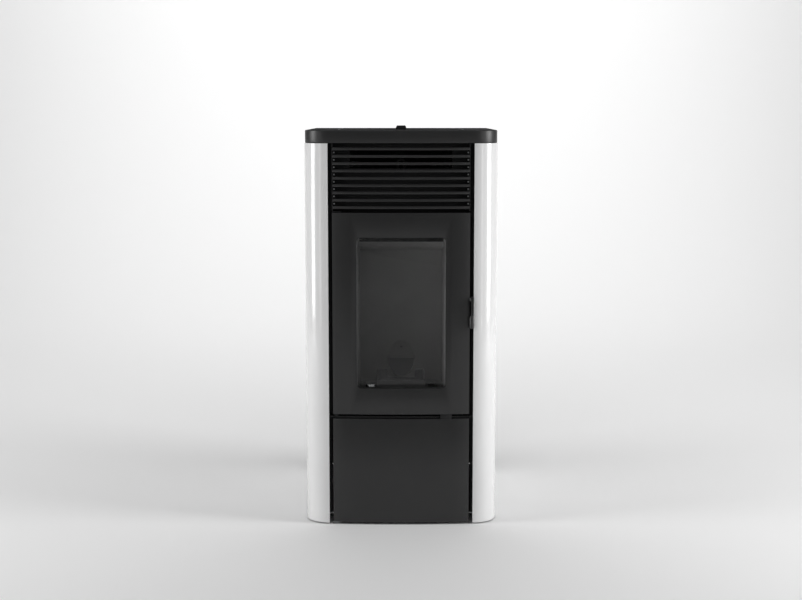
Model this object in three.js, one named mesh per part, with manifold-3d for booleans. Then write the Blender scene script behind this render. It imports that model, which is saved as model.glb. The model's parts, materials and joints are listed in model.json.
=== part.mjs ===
// Free-standing pellet stove, modelled in millimetres with +Z up.
// The front faces -Y, and the origin lies on the floor under the middle of the stove.
// Heights are stacked from the floor: service door, gap, fire door, gap, air grille, top slab.

import * as THREE from 'three';
import { mergeVertices } from 'three/addons/utils/BufferGeometryUtils.js';
import Module from 'manifold-3d';

const wasm = await Module();
wasm.setup();

// ---------------------------------------------------------------- fits
const SEAT = 0.3;              // gap between pieces that rest on or against each other
const RUN = 0.5;               // radial running clearance of pins and shafts

// ---------------------------------------------------------------- casing
const BODY_W = 460;            // over the two side panels
const BOW_R = 2130;            // radius of the bowed front, in plan
const BOW_Y = -246;            // front line of the bow
const REAR_Y = 220;            // outer face of the rear panel
const CORNER_R = 58;           // rolled front corner of a side panel
const PANEL_SHEET = 2;
const PANEL_RETURN = 18;       // fold behind the front edge and at the rear edge
const PANEL_BOTTOM = 3;        // side panel above the floor
const POST_SHEET = 2;
const POST_LEG = 27;           // depth of a front post
const POST_EDGE = 3.5;         // post edge beside the door
const POST_SETBACK = 27;       // front face of a post behind the bow line
const SIDE_GAP = 9.5;          // open gap between the door and a side panel

// ---------------------------------------------------------------- stack of heights
const SERVICE_Z0 = 6;          // lower edge of the service door
const SERVICE_H = 253.7;
const DOOR_GAP = 11;           // between the service door and the fire door
const DOOR_H = 481.6;
const GRILLE_GAP = 3.8;        // between the fire door and the grille
const GRILLE_H = 158.9;
const SLAB_T = 30;

// ---------------------------------------------------------------- base and feet
const BASE_Z = 20;             // underside of the base plate
const BASE_SHEET = 3;
const FOOT_R = 22;
const FOOT_PAD = 9;
const FOOT_STEM_R = 7;
const FOOT_X = 176;
const FOOT_FRONT_Y = -140;
const FOOT_REAR_Y = 170;
const BASE_SLOT_W = 8;         // air slots in the base plate
const BASE_SLOT_L = 90;
const BASE_SLOTS = 5;

// ---------------------------------------------------------------- top slab, lid and handle
const SLAB_INSET = 1.5;        // slab edge inside the side panels
const SLAB_PLATE = 12;
const SLAB_SKIRT = 6;
const SLAB_EDGE = 2;           // rounded arris
const LID_W = 302;
const LID_FRONT_Y = -131;
const LID_PIVOT_Y = 164;
const LID_GAP = 2;
const LID_PIN_R = 3;
const LID_PIN_L = 6;
const LID_HANDLE_W = 27;
const LID_HANDLE_TOP_W = 19;
const LID_HANDLE_H = 10;
const LID_HANDLE_D = 13;
const LID_HANDLE_Y = -114;

// ---------------------------------------------------------------- air grille
const SLAT_COUNT = 9;
const SLAT_FACE = 6;
const SLAT_DEPTH = 16;
const SLAT_SHEET = 1.5;
const SLAT_TOP_GAP = 13.2;     // centre of the top slat under the slab
const SLAT_BOTTOM_GAP = 8.8;   // centre of the bottom slat over the grille's lower edge
const OUTLET_W = 242;          // warm-air outlet behind the slats
const OUTLET_H = 50;
const OUTLET_TOP = 10;         // bar of sheet over the outlet
const OUTLET_SHEET = 2;
const OUTLET_SETBACK = 42;     // front of the outlet sheet behind the bow line

// ---------------------------------------------------------------- fire door
const DOOR_W = 325;
const DOOR_T = 38;             // front line of the bow to the flat back
const DOOR_SKIN = 6;
const DOOR_RIM = 4;
const DOOR_EDGE_R = 3;
const WINDOW_W = 211;
const WINDOW_H = 360.6;
const WINDOW_R = 12;
const WINDOW_SILL = 62.7;      // window above the door's lower edge
const GLASS_LAP = 10.5;        // glass past the window edge
const GLASS_T = 4;
const GLASS_SETBACK = 14;      // front of the glass behind the bow line
const COLLAR_T = 13;           // wall round the glass pocket
const RETAINER_W = 11;
const RETAINER_T = 5;
const GASKET_W = 8;
const GASKET_GROOVE = 4;
const HINGE_IN = 7.5;          // hinge axis from the door's left edge
const HINGE_BACK = 18;         // hinge axis behind the bow line
const HINGE_PIN_R = 4;
const HINGE_PIN_L = 14;
const HINGE_COLLAR_R = 7;
const HINGE_PLATE = 3;
const CROSSBAR_LEG = 14;       // leg under the angle between the doors

// ---------------------------------------------------------------- service door
const SERVICE_SKIN = 2.5;
const SERVICE_FOLD = 22;       // depth of the folded edges from the bow line
const TAB_X0 = 94;             // pull tab in the gap over the service door
const TAB_W = 27;
const TAB_BACK = 4;

// ---------------------------------------------------------------- latch and handle
const GRIP_R = 5.5;
const GRIP_L = 30.5;
const GRIP_Z = 207.8;          // lower end of the grip above the door's lower edge
const GRIP_STANDOFF = 1.5;     // centre of the grip behind the bow line
const LEVER_T = 4;
const LEVER_W = 8;
const LEVER_RISE = 36;         // pivot above the top of the grip
const LATCH_R = 4;             // latch shaft
const LATCH_BACK = 20;         // latch shaft behind the bow line
const LATCH_BOSS_R = 7;
const HOOK_T = 8;
const HOOK_REACH = 12;

// ---------------------------------------------------------------- firebox
const FRONT_PLATE_GAP = 5;     // between the door's back and the firebox front plate
const FRONT_PLATE_T = 4;
const FRONT_PLATE_IN = 20.5;   // plate edge inside the side panel's outer face
const FIREBOX_LIFT = 2.3;      // firebox floor above the service door
const FIREBOX_DROP = 7.3;      // firebox top below the fire door's top
const FIREBOX_W = 228;         // inside width
const FIREBOX_D = 245;         // inside depth behind the front plate
const FIREBOX_WALL = 3;
const LINER_T = 9;
const BACK_LINER_T = 12;
const LINER_TOP = 371;         // back liner height
const BAFFLE_T = 12;
const BAFFLE_D = 94;
const BAFFLE_RISE = 18;
const ASH_HOLE_W = 180;
const ASH_HOLE_D = 190;
const RUNNER_LIP = 10;
const SMOKE_HOLE_D = 56;
const SMOKE_HOLE_H = 55;
const SMOKE_HOLE_TOP = 10;     // below the firebox roof
const FEED_W = 70;             // oval pellet hole in the back liner
const FEED_H = 97;
const FEED_RISE = 88.5;        // middle of the hole above the firebox floor

// ---------------------------------------------------------------- burn pot, seat, ash drawer
const POT_W = 120;
const POT_D = 140;
const POT_Y = -46;
const POT_RISE = 62;           // rim above the firebox floor
const POT_WALL = 5;
const POT_UPPER = 32.7;        // wide part of the pot over its seat
const POT_LOWER = 26;          // narrow part through the seat
const POT_STEP = 10;
const POT_HOLE_R = 4;
const POT_REAR_DIP = 20;
const POT_LIFT_HOLES = 4;
const SEAT_SHEET = 4;
const DRAWER_W = 196;
const DRAWER_D = 200;
const DRAWER_H = 80;
const DRAWER_SHEET = 1.5;
const DRAWER_GRIP_W = 80;
const DRAWER_GRIP_H = 16;
const IGNITER_R = 7;
const IGNITER_L = 95;
const IGNITER_DROP = 12;       // axis under the seat plate

// ---------------------------------------------------------------- heat exchanger and scraper
const HEX_W = 300;
const HEX_D = 138;
const HEX_H = 104;
const HEX_WALL = 3;
const HEX_TUBES = 3;
const HEX_TUBE_R = 16;
const HEX_TUBE_WALL = 2;
const HEX_TUBE_DROP = 62;      // tube axes under the exchanger roof
const SCRAPER_ROD_R = 3.5;
const SCRAPER_LOOP_R = 8;
const SCRAPER_RISE = 18;       // straight legs above the roof
const SCRAPER_DEPTH = 30;      // legs below the roof
const SCRAPER_Y = 18;          // legs behind the exchanger's front
const SCRAPER_BAR_W = 180;
const SCRAPER_BAR_T = 3;

// ---------------------------------------------------------------- hopper, auger and chute
const HOPPER_W = 290;
const HOPPER_SHEET = 2;
const HOPPER_FLANGE = 16;
const HOPPER_FRONT_Y = -118;
const HOPPER_REAR_Y = 150;
const HOPPER_KNEE_RISE = 190;  // knee above the hopper's outlet
const HOPPER_KNEE_Y = 56;
const HOPPER_KNEE_REAR_Y = 185;
const HOPPER_RISE = 42;        // outlet above the auger's axis
const INLET_IN = 76;           // middle of the hopper outlet from the auger tube's left end
const INLET_W = 90;
const INLET_D = 46;
const AUGER_Y = 130;
const AUGER_RISE = 255;        // axis above the firebox floor
const AUGER_TUBE_R = 32;
const AUGER_TUBE_WALL = 2.5;
const AUGER_IN = 54;           // left end of the tube inside the casing
const AUGER_RIGHT = 36;
const AUGER_SHAFT_R = 8;
const AUGER_FLIGHT_R = 27;
const AUGER_FLIGHT_T = 3;
const AUGER_PITCH = 36;
const AUGER_TURNS = 4.5;
const AUGER_STEPS = 12;        // steps a turn
const AUGER_SIDES = 8;         // facets of the shaft between the fin's two sides
const AUGER_END_GAP = 6;       // flight from the tube's left end
const CHUTE_W = 66;
const CHUTE_SHEET = 2;
const CHUTE_RISE = 187;        // top of the chute's slope above the firebox floor
const CHUTE_MOUTH_RISE = 35;   // sill of the chute's mouth above the firebox floor
const DEFLECTOR_RISE = 86;     // lower edge of the deflector above the firebox floor

// ---------------------------------------------------------------- motors and fans
const GEARBOX_L = 34;
const GEARBOX_W = 72;
const GEARBOX_H = 84;
const MOTOR_R = 24;
const MOTOR_L = 38;
const SMOKE_FAN_X = 95;
const SMOKE_FAN_Y = 115;
const SMOKE_FAN_Z = 150;
const SMOKE_FAN_W = 50;
const SMOKE_WHEEL_R = 60;
const SMOKE_BLADES = 8;
const SMOKE_INLET_R = 32;
const SMOKE_MOTOR_R = 40;
const SMOKE_MOTOR_L = 42;
const BLOWER_IN = 108;         // middle of the blower inside the casing
const BLOWER_Y = 95;
const BLOWER_W = 104;
const BLOWER_WHEEL_R = 50;
const BLOWER_BLADES = 16;
const BLOWER_INLET_R = 38;
const BLOWER_MOTOR_R = 30;
const BLOWER_MOTOR_L = 40;
const VOLUTE_GAP = 7;          // wheel to the tight end of the scroll
const VOLUTE_GROWTH = 26;
const VOLUTE_WALL = 3;
const VOLUTE_STEPS = 16;
const VOLUTE_TONGUE = 30;      // degrees
const OUTLET_REACH = 70;       // scroll outlet from the fan axis
const FAN_SHAFT_R = 4;
const FLUE_R = 40;
const FLUE_WALL = 1.5;
const FLUE_END_Y = 250;
const DUCT_W = 38;
const DUCT_D = 60;
const DUCT_SHEET = 2;
const AIR_TUBE_R = 25;
const AIR_TUBE_X = -72;
const AIR_TUBE_RISE = 29;      // above the firebox floor
const AIR_TUBE_OUT = 22;       // past the rear panel

// ---------------------------------------------------------------- rear panel and electrics
const VENT_COLS = 3;
const VENT_ROWS = 8;
const VENT_W = 84;
const VENT_H = 7;
const VENT_PITCH = 17;
const VENT_Z0 = 606;
const VENT_X_PITCH = 112;
const INTAKE_ROWS = 7;
const INTAKE_Z0 = 60;
const INTAKE_W = 110;
const SOCKET_IN = 52;          // middle of the power inlet inside the casing
const SOCKET_Z = 100;
const SOCKET_W = 34;
const SOCKET_H = 62;
const SOCKET_FLANGE = 3;
const SOCKET_CAVITY_H = 20;
const ROCKER_W = 20;
const ROCKER_H = 24;
const ROCKER_TILT = 8;         // degrees each side of level
const BOARD_L = 120;
const BOARD_H = 150;
const BOARD_T = 2;
const BOARD_Z = 60;

// ---------------------------------------------------------------- worked-out places
const SIDE_X = BODY_W / 2;
const PANEL_EDGE_X = SIDE_X - CORNER_R;
const SERVICE_Z1 = SERVICE_Z0 + SERVICE_H;
const DOOR_Z0 = SERVICE_Z1 + DOOR_GAP;
const DOOR_Z1 = DOOR_Z0 + DOOR_H;
const GRILLE_Z0 = DOOR_Z1 + GRILLE_GAP;
const GRILLE_Z1 = GRILLE_Z0 + GRILLE_H;
const SLAB_Z1 = GRILLE_Z1 + SLAB_T;
const PLATE_Z0 = SLAB_Z1 - SLAB_PLATE;
const DOOR_X = PANEL_EDGE_X - SIDE_GAP;
const DOOR_BACK_Y = BOW_Y + DOOR_T;
const POST_Y = BOW_Y + POST_SETBACK;
const FRONT_PLATE_Y = DOOR_BACK_Y + FRONT_PLATE_GAP;
const BOX_Y0 = FRONT_PLATE_Y + FRONT_PLATE_T;
const BOX_Y1 = BOX_Y0 + FIREBOX_D;
const BOX_Z0 = SERVICE_Z1 + FIREBOX_LIFT;
const BOX_Z1 = DOOR_Z1 - FIREBOX_DROP;
const BOX_X = FIREBOX_W / 2;
const FLOOR_Z = BOX_Z0 + FIREBOX_WALL;
const FEED_Z = FLOOR_Z + FEED_RISE;
const POT_RIM_Z = FLOOR_Z + POT_RISE;
const AUGER_Z = FLOOR_Z + AUGER_RISE;
const AUGER_LEFT = -SIDE_X + AUGER_IN;
const INLET_X = AUGER_LEFT + INLET_IN;
const HOPPER_OUT_Z = AUGER_Z + HOPPER_RISE;
const HOPPER_KNEE_Z = HOPPER_OUT_Z + HOPPER_KNEE_RISE;
const CHUTE_SLOPE_Z = FLOOR_Z + CHUTE_RISE;
const CHUTE_MOUTH_Z0 = FLOOR_Z + CHUTE_MOUTH_RISE;
const DEFLECTOR_Z = FLOOR_Z + DEFLECTOR_RISE;
const AIR_TUBE_Z = FLOOR_Z + AIR_TUBE_RISE;
const BLOWER_X = -SIDE_X + BLOWER_IN;
const SOCKET_X = SIDE_X - SOCKET_IN;
const PANEL_END_Y = REAR_Y - PANEL_SHEET - SEAT;
const OUTLET_Y = BOW_Y + OUTLET_SETBACK;
const BASE_TOP = BASE_Z + BASE_SHEET;

// Points of a fan scroll round its axis, from the tongue to the top. It grows at a steady rate.
function scrollPoints(wheelR, inset) {
  const tongue = THREE.MathUtils.degToRad(VOLUTE_TONGUE);
  const sweep = tongue + 1.5 * Math.PI;
  const points = [];
  for (let i = 0; i <= VOLUTE_STEPS; i += 1) {
    const t = i / VOLUTE_STEPS;
    const angle = tongue - t * sweep;
    const r = wheelR + VOLUTE_GAP + VOLUTE_GROWTH * t - inset;
    points.push([r * Math.cos(angle), r * Math.sin(angle)]);
  }
  return points;
}

// The room blower's scroll stands on the base plate.
const BLOWER_Z = BASE_TOP + SEAT - Math.min(...scrollPoints(BLOWER_WHEEL_R, 0).map(([, b]) => b));
const SMOKE_FAN = { x: SMOKE_FAN_X, y: SMOKE_FAN_Y, z: SMOKE_FAN_Z };
const BLOWER = { x: BLOWER_X, y: BLOWER_Y, z: BLOWER_Z };

// ---------------------------------------------------------------- helpers for shapes and solids
// A closed body from any geometry, as a solid that can be cut and joined.
function solid(geometry) {
  const plain = geometry.clone();
  plain.deleteAttribute('normal');
  plain.deleteAttribute('uv');
  const merged = mergeVertices(plain, 1e-4);
  return new wasm.Manifold(new wasm.Mesh({
    numProp: 3,
    vertProperties: new Float32Array(merged.attributes.position.array),
    triVerts: new Uint32Array(merged.index.array),
  }));
}

function geometryOf(body) {
  const mesh = body.getMesh();
  const geometry = new THREE.BufferGeometry();
  geometry.setAttribute('position', new THREE.BufferAttribute(new Float32Array(mesh.vertProperties), 3));
  geometry.setIndex(new THREE.BufferAttribute(new Uint32Array(mesh.triVerts), 1));
  geometry.computeVertexNormals();
  return geometry;
}

function join(...bodies) {
  return bodies.reduce((sum, body) => sum.add(body));
}

function cut(body, ...tools) {
  return tools.reduce((rest, tool) => rest.subtract(tool), body);
}

function box(x0, x1, y0, y1, z0, z1) {
  const geometry = new THREE.BoxGeometry(x1 - x0, y1 - y0, z1 - z0);
  geometry.translate((x0 + x1) / 2, (y0 + y1) / 2, (z0 + z1) / 2);
  return solid(geometry);
}

// Closed outline through [a, b] points.
function outline(points) {
  return new THREE.Shape(points.map(([a, b]) => new THREE.Vector2(a, b)));
}

function rectangle(a0, a1, b0, b1, r = 0) {
  if (r === 0) return outline([[a0, b0], [a1, b0], [a1, b1], [a0, b1]]);
  const shape = new THREE.Shape();
  shape.moveTo(a0 + r, b0);
  shape.lineTo(a1 - r, b0);
  shape.absarc(a1 - r, b0 + r, r, -Math.PI / 2, 0, false);
  shape.lineTo(a1, b1 - r);
  shape.absarc(a1 - r, b1 - r, r, 0, Math.PI / 2, false);
  shape.lineTo(a0 + r, b1);
  shape.absarc(a0 + r, b1 - r, r, Math.PI / 2, Math.PI, false);
  shape.lineTo(a0, b0 + r);
  shape.absarc(a0 + r, b0 + r, r, Math.PI, 1.5 * Math.PI, false);
  return shape;
}

function oval(a, b, w, h) {
  const shape = new THREE.Shape();
  shape.absellipse(a, b, w / 2, h / 2, 0, 2 * Math.PI, false, 0);
  return shape;
}

function extruded(shape, depth, segments) {
  return new THREE.ExtrudeGeometry(shape, { depth, curveSegments: segments, bevelEnabled: false });
}

// Plan outline (x, y) raised from z0 to z1.
function upright(shape, z0, z1, segments = 3) {
  return solid(extruded(shape, z1 - z0, segments).translate(0, 0, z0));
}

// Side outline (y, z) drawn out along X.
function across(shape, x0, x1, segments = 3) {
  const turn = new THREE.Matrix4().set(0, 0, 1, x0, 1, 0, 0, 0, 0, 1, 0, 0, 0, 0, 0, 1);
  return solid(extruded(shape, x1 - x0, segments).applyMatrix4(turn));
}

// Front outline (x, z) drawn out along Y.
function inward(shape, y0, y1, segments = 3) {
  const turn = new THREE.Matrix4().set(1, 0, 0, 0, 0, 0, -1, y1, 0, 1, 0, 0, 0, 0, 0, 1);
  return solid(extruded(shape, y1 - y0, segments).applyMatrix4(turn));
}

function disc(a, b, r) {
  return oval(a, b, 2 * r, 2 * r);
}

function rodX(y, z, r, x0, x1, segments = 8) {
  return across(disc(y, z, r), x0, x1, segments);
}

function rodY(x, z, r, y0, y1, segments = 8) {
  return inward(disc(x, z, r), y0, y1, segments);
}

function rodZ(x, y, r, z0, z1, segments = 8) {
  return upright(disc(x, y, r), z0, z1, segments);
}

// Y of the bowed front at x, set back by an inset.
function bowAt(x, inset = 0) {
  const r = BOW_R - inset;
  return BOW_Y + BOW_R - Math.sqrt(r * r - x * x);
}

// Bowed line from x0 to x1 on a shape that is being drawn.
function bowLine(shape, x0, x1, inset) {
  const r = BOW_R - inset;
  const start = -Math.PI / 2 + Math.asin(x0 / r);
  const end = -Math.PI / 2 + Math.asin(x1 / r);
  shape.absarc(0, BOW_Y + BOW_R, r, start, end, x1 < x0);
}

// Plan outline from the bow back to a straight line.
function bowBlock(half, inset, backY) {
  const shape = new THREE.Shape();
  shape.moveTo(-half, bowAt(half, inset));
  bowLine(shape, -half, half, inset);
  shape.lineTo(half, backY);
  shape.lineTo(-half, backY);
  return shape;
}

// Plan outline of a bowed strip between two insets.
function bowStrip(half, inset0, inset1) {
  const shape = new THREE.Shape();
  shape.moveTo(-half, bowAt(half, inset0));
  bowLine(shape, -half, half, inset0);
  shape.lineTo(half, bowAt(half, inset1));
  bowLine(shape, half, -half, inset1);
  return shape;
}

// Materials by finish: colour, roughness and metalness.
const FINISH = {
  white: [0xf1f1ef, 0.28, 0.0],
  black: [0x303234, 0.55, 0.25],
  dark: [0x1d1e1f, 0.7, 0.3],
  iron: [0x3a3b3c, 0.75, 0.4],
  liner: [0x6b6a67, 0.9, 0.0],
  zinc: [0x9a9c9e, 0.45, 0.8],
  steel: [0xb4b6b8, 0.35, 0.9],
  glass: [0x20242a, 0.05, 0.0],
  rope: [0x55524d, 0.95, 0.0],
  plastic: [0x1a1a1b, 0.5, 0.0],
  rubber: [0x151515, 0.9, 0.0],
  board: [0x2f5a3a, 0.6, 0.0],
};

function part(group, name, body, finish, place = [0, 0, 0]) {
  const [color, roughness, metalness] = FINISH[finish];
  const material = new THREE.MeshStandardMaterial({ color, roughness, metalness });
  const mesh = new THREE.Mesh(body.isBufferGeometry ? body : geometryOf(body), material);
  mesh.name = name;
  mesh.position.set(...place);
  group.add(mesh);
  return mesh;
}

const stove = new THREE.Group();
const casing = new THREE.Group();
const fireDoor = new THREE.Group();
const serviceDoor = new THREE.Group();
const lid = new THREE.Group();
const hearth = new THREE.Group();
const feed = new THREE.Group();
const fans = new THREE.Group();
stove.add(casing, fireDoor, serviceDoor, lid, hearth, feed, fans);

// ---------------------------------------------------------------- base plate and feet
// Plan outline of the casing's inside, cut straight at the front.
function insidePlan(frontY, clearance) {
  const half = SIDE_X - PANEL_SHEET - clearance;
  const cornerY = bowAt(PANEL_EDGE_X) + CORNER_R;
  const r = CORNER_R - PANEL_SHEET - clearance;
  const frontX = PANEL_EDGE_X + Math.sqrt(r * r - (frontY - cornerY) ** 2);
  const backY = PANEL_END_Y - PANEL_SHEET - clearance;
  const shape = new THREE.Shape();
  shape.moveTo(-frontX, frontY);
  shape.lineTo(frontX, frontY);
  shape.absarc(PANEL_EDGE_X, cornerY, r, Math.asin((frontY - cornerY) / r), 0, false);
  shape.lineTo(half, backY);
  shape.lineTo(-half, backY);
  shape.lineTo(-half, cornerY);
  shape.absarc(-PANEL_EDGE_X, cornerY, r, Math.PI, Math.PI - Math.asin((frontY - cornerY) / r), false);
  return shape;
}

const hingeX = -DOOR_X + HINGE_IN;
const hingeY = BOW_Y + HINGE_BACK;

function basePlate() {
  const frontY = POST_Y + POST_SHEET;
  const slots = [];
  for (let i = 0; i < BASE_SLOTS; i += 1) {
    const x = (i - (BASE_SLOTS - 1) / 2) * 3 * BASE_SLOT_W;
    slots.push(upright(rectangle(x, x + BASE_SLOT_W, -BASE_SLOT_L / 2, BASE_SLOT_L / 2), 0, BASE_TOP + 1));
  }
  // Front lug with the lower pin of the service door.
  const lugTop = SERVICE_Z0 - SEAT;
  const lugZ = lugTop - HINGE_PLATE;
  const lug = box(hingeX - 9, hingeX + 9, hingeY - 7, frontY + 6, lugZ, lugTop);
  const web = box(hingeX - 9, hingeX + 9, frontY + 3, frontY + 6, lugZ, BASE_Z + 1);
  const pin = rodZ(hingeX, hingeY, HINGE_PIN_R - 1, lugTop - 1, SERVICE_Z0 + HINGE_PIN_L - 4);
  const plate = cut(upright(insidePlan(frontY, 1), BASE_Z, BASE_TOP, 4), ...slots);
  return join(plate, lug, web, pin);
}
part(casing, 'base_plate', basePlate(), 'zinc');

const footGeometry = new THREE.LatheGeometry([
  [0, 0], [FOOT_R, 0], [FOOT_R, FOOT_PAD - 2], [FOOT_R - 3, FOOT_PAD], [FOOT_STEM_R, FOOT_PAD],
  [FOOT_STEM_R, BASE_Z - SEAT], [0, BASE_Z - SEAT],
].map(([r, z]) => new THREE.Vector2(r, z)), 20).rotateX(Math.PI / 2);
for (const [name, x, y] of [
  ['foot_front_left', -FOOT_X, FOOT_FRONT_Y],
  ['foot_front_right', FOOT_X, FOOT_FRONT_Y],
  ['foot_rear_left', -FOOT_X, FOOT_REAR_Y],
  ['foot_rear_right', FOOT_X, FOOT_REAR_Y],
]) {
  part(casing, name, solid(footGeometry), 'rubber', [x, y, 0]);
}

// ---------------------------------------------------------------- front posts and crossbar
const POST_X0 = DOOR_X + POST_EDGE;
const POST_TOP = GRILLE_Z1 - SEAT;
const POST_X1 = SIDE_X - FRONT_PLATE_IN + 2;

// Angle profile: a face beside the door and a leg running back.
function postPlan(side) {
  const back = POST_Y + POST_LEG;
  return outline([
    [POST_X0, POST_Y], [POST_X1, POST_Y], [POST_X1, back], [POST_X1 - POST_SHEET, back],
    [POST_X1 - POST_SHEET, POST_Y + POST_SHEET], [POST_X0, POST_Y + POST_SHEET],
  ].map(([x, y]) => [side * x, y]));
}
for (const [name, side] of [['frame_post_left', -1], ['frame_post_right', 1]]) {
  part(casing, name, upright(postPlan(side), BASE_TOP, POST_TOP), 'dark');
}

// Angle across the gap between the two doors. It carries the door pins. Its leg stops short of
// the hinges, where the edge of the open service door swings back.
const CROSSBAR_Z = SERVICE_Z1 + 1.3;
const CROSSBAR_TOP = CROSSBAR_Z + 4;
function crossbar() {
  const half = PANEL_EDGE_X - 1;
  const faceY = POST_Y - SEAT;
  const shelf = upright(bowBlock(half, 6, faceY), CROSSBAR_Z, CROSSBAR_TOP);
  const legX0 = hingeX + 2 * HINGE_COLLAR_R;
  const leg = box(legX0, half, faceY - POST_SHEET, faceY, CROSSBAR_Z - CROSSBAR_LEG, CROSSBAR_Z + 1);
  const collar = rodZ(hingeX, hingeY, HINGE_COLLAR_R, CROSSBAR_TOP - 1, DOOR_Z0 - SEAT);
  const pinUp = rodZ(hingeX, hingeY, HINGE_PIN_R, DOOR_Z0 - 1, DOOR_Z0 + HINGE_PIN_L);
  const pinDown = rodZ(hingeX, hingeY, HINGE_PIN_R - 1, SERVICE_Z1 - HINGE_PIN_L + 4, CROSSBAR_Z + 1);
  return join(shelf, leg, collar, pinUp, pinDown);
}
part(casing, 'frame_crossbar', crossbar(), 'dark');

// Upper hinge plate of the fire door, fixed to the front plate of the firebox.
function upperHinge() {
  const z0 = DOOR_Z1 + SEAT;
  const width = 2 * HINGE_COLLAR_R;
  const back = BOX_Y0 - FRONT_PLATE_T - SEAT;
  const plate = upright(rectangle(hingeX - width / 2, hingeX + width, hingeY - 7, back), z0, z0 + HINGE_PLATE);
  const lap = box(hingeX - width / 2, hingeX + width, back - POST_SHEET, back, z0 - 14, z0 + HINGE_PLATE);
  const pin = rodZ(hingeX, hingeY, HINGE_PIN_R, DOOR_Z1 - HINGE_PIN_L + 4, z0 + 1);
  return join(plate, lap, pin);
}

// ---------------------------------------------------------------- side panels
function panelPlan(side) {
  const frontY = bowAt(PANEL_EDGE_X);
  const cornerY = frontY + CORNER_R;
  const inner = CORNER_R - PANEL_SHEET;
  const x = (value) => side * value;
  const turn = (angle) => (side > 0 ? angle : Math.PI - angle);
  const foldAngle = -Math.acos(PANEL_SHEET / inner);
  const shape = new THREE.Shape();
  shape.moveTo(x(PANEL_EDGE_X), frontY + PANEL_RETURN);
  shape.lineTo(x(PANEL_EDGE_X), frontY);
  shape.absarc(x(PANEL_EDGE_X), cornerY, CORNER_R, turn(-Math.PI / 2), turn(0), side < 0);
  shape.lineTo(x(SIDE_X), PANEL_END_Y);
  shape.lineTo(x(SIDE_X - PANEL_RETURN), PANEL_END_Y);
  shape.lineTo(x(SIDE_X - PANEL_RETURN), PANEL_END_Y - PANEL_SHEET);
  shape.lineTo(x(SIDE_X - PANEL_SHEET), PANEL_END_Y - PANEL_SHEET);
  shape.absarc(x(PANEL_EDGE_X), cornerY, inner, turn(0), turn(foldAngle), side > 0);
  shape.lineTo(x(PANEL_EDGE_X + PANEL_SHEET), frontY + PANEL_RETURN);
  return shape;
}
for (const [name, side] of [['side_panel_left', -1], ['side_panel_right', 1]]) {
  part(casing, name, upright(panelPlan(side), PANEL_BOTTOM, POST_TOP, 5), 'white');
}

// ---------------------------------------------------------------- rear panel
const SOCKET_Z1 = SOCKET_Z + SOCKET_H;
const FLUE_Z = SMOKE_FAN.z + (VOLUTE_GAP + SMOKE_WHEEL_R + VOLUTE_GROWTH + scrollTongueV()) / 2;

// Height of the scroll's tongue over the fan axis.
function scrollTongueV() {
  return (SMOKE_WHEEL_R + VOLUTE_GAP) * Math.sin(THREE.MathUtils.degToRad(VOLUTE_TONGUE));
}

function rearPanel() {
  const y0 = REAR_Y - PANEL_SHEET;
  const half = SIDE_X - PANEL_SHEET - 1;
  const sheet = box(-half, half, y0, REAR_Y, BASE_TOP + SEAT, POST_TOP);
  const holes = [];
  for (let row = 0; row < VENT_ROWS; row += 1) {
    for (let col = 0; col < VENT_COLS; col += 1) {
      const x = (col - (VENT_COLS - 1) / 2) * VENT_X_PITCH;
      const z = VENT_Z0 + row * VENT_PITCH;
      holes.push(box(x - VENT_W / 2, x + VENT_W / 2, y0 - 1, REAR_Y + 1, z, z + VENT_H));
    }
  }
  for (let row = 0; row < INTAKE_ROWS; row += 1) {
    const z = INTAKE_Z0 + row * VENT_PITCH;
    holes.push(box(BLOWER.x - INTAKE_W / 2, BLOWER.x + INTAKE_W / 2, y0 - 1, REAR_Y + 1, z, z + VENT_H));
  }
  holes.push(rodY(SMOKE_FAN.x, FLUE_Z, FLUE_R + 1, y0 - 1, REAR_Y + 1, 12));
  holes.push(rodY(AIR_TUBE_X, AIR_TUBE_Z, AIR_TUBE_R + 1, y0 - 1, REAR_Y + 1, 10));
  const socketX0 = SOCKET_X - SOCKET_W / 2 + SOCKET_FLANGE - SEAT;
  const socketX1 = SOCKET_X + SOCKET_W / 2 - SOCKET_FLANGE + SEAT;
  const socketZ0 = SOCKET_Z + SOCKET_FLANGE - SEAT;
  holes.push(box(socketX0, socketX1, y0 - 1, REAR_Y + 1, socketZ0, SOCKET_Z1 - SOCKET_FLANGE + SEAT));
  return cut(sheet, ...holes);
}
part(casing, 'rear_panel', rearPanel(), 'black');

// ---------------------------------------------------------------- top slab
const LID_X = LID_W / 2;
const LID_ROUND = SLAB_PLATE / 2;
const LID_AXIS_Z = SLAB_Z1 - LID_ROUND;
const LID_BACK_Y = LID_PIVOT_Y + LID_ROUND;

// Plan outline of the whole stove, drawn inward by an inset.
function slabPlan(inset) {
  const half = SIDE_X - inset;
  const frontY = bowAt(PANEL_EDGE_X, inset);
  const r = CORNER_R - inset;
  const shape = new THREE.Shape();
  shape.moveTo(-PANEL_EDGE_X, frontY);
  bowLine(shape, -PANEL_EDGE_X, PANEL_EDGE_X, inset);
  shape.absarc(PANEL_EDGE_X, frontY + r, r, -Math.PI / 2, 0, false);
  shape.lineTo(half, REAR_Y - inset);
  shape.lineTo(-half, REAR_Y - inset);
  shape.lineTo(-half, frontY + r);
  shape.absarc(-PANEL_EDGE_X, frontY + r, r, Math.PI, 1.5 * Math.PI, false);
  return shape;
}

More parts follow.
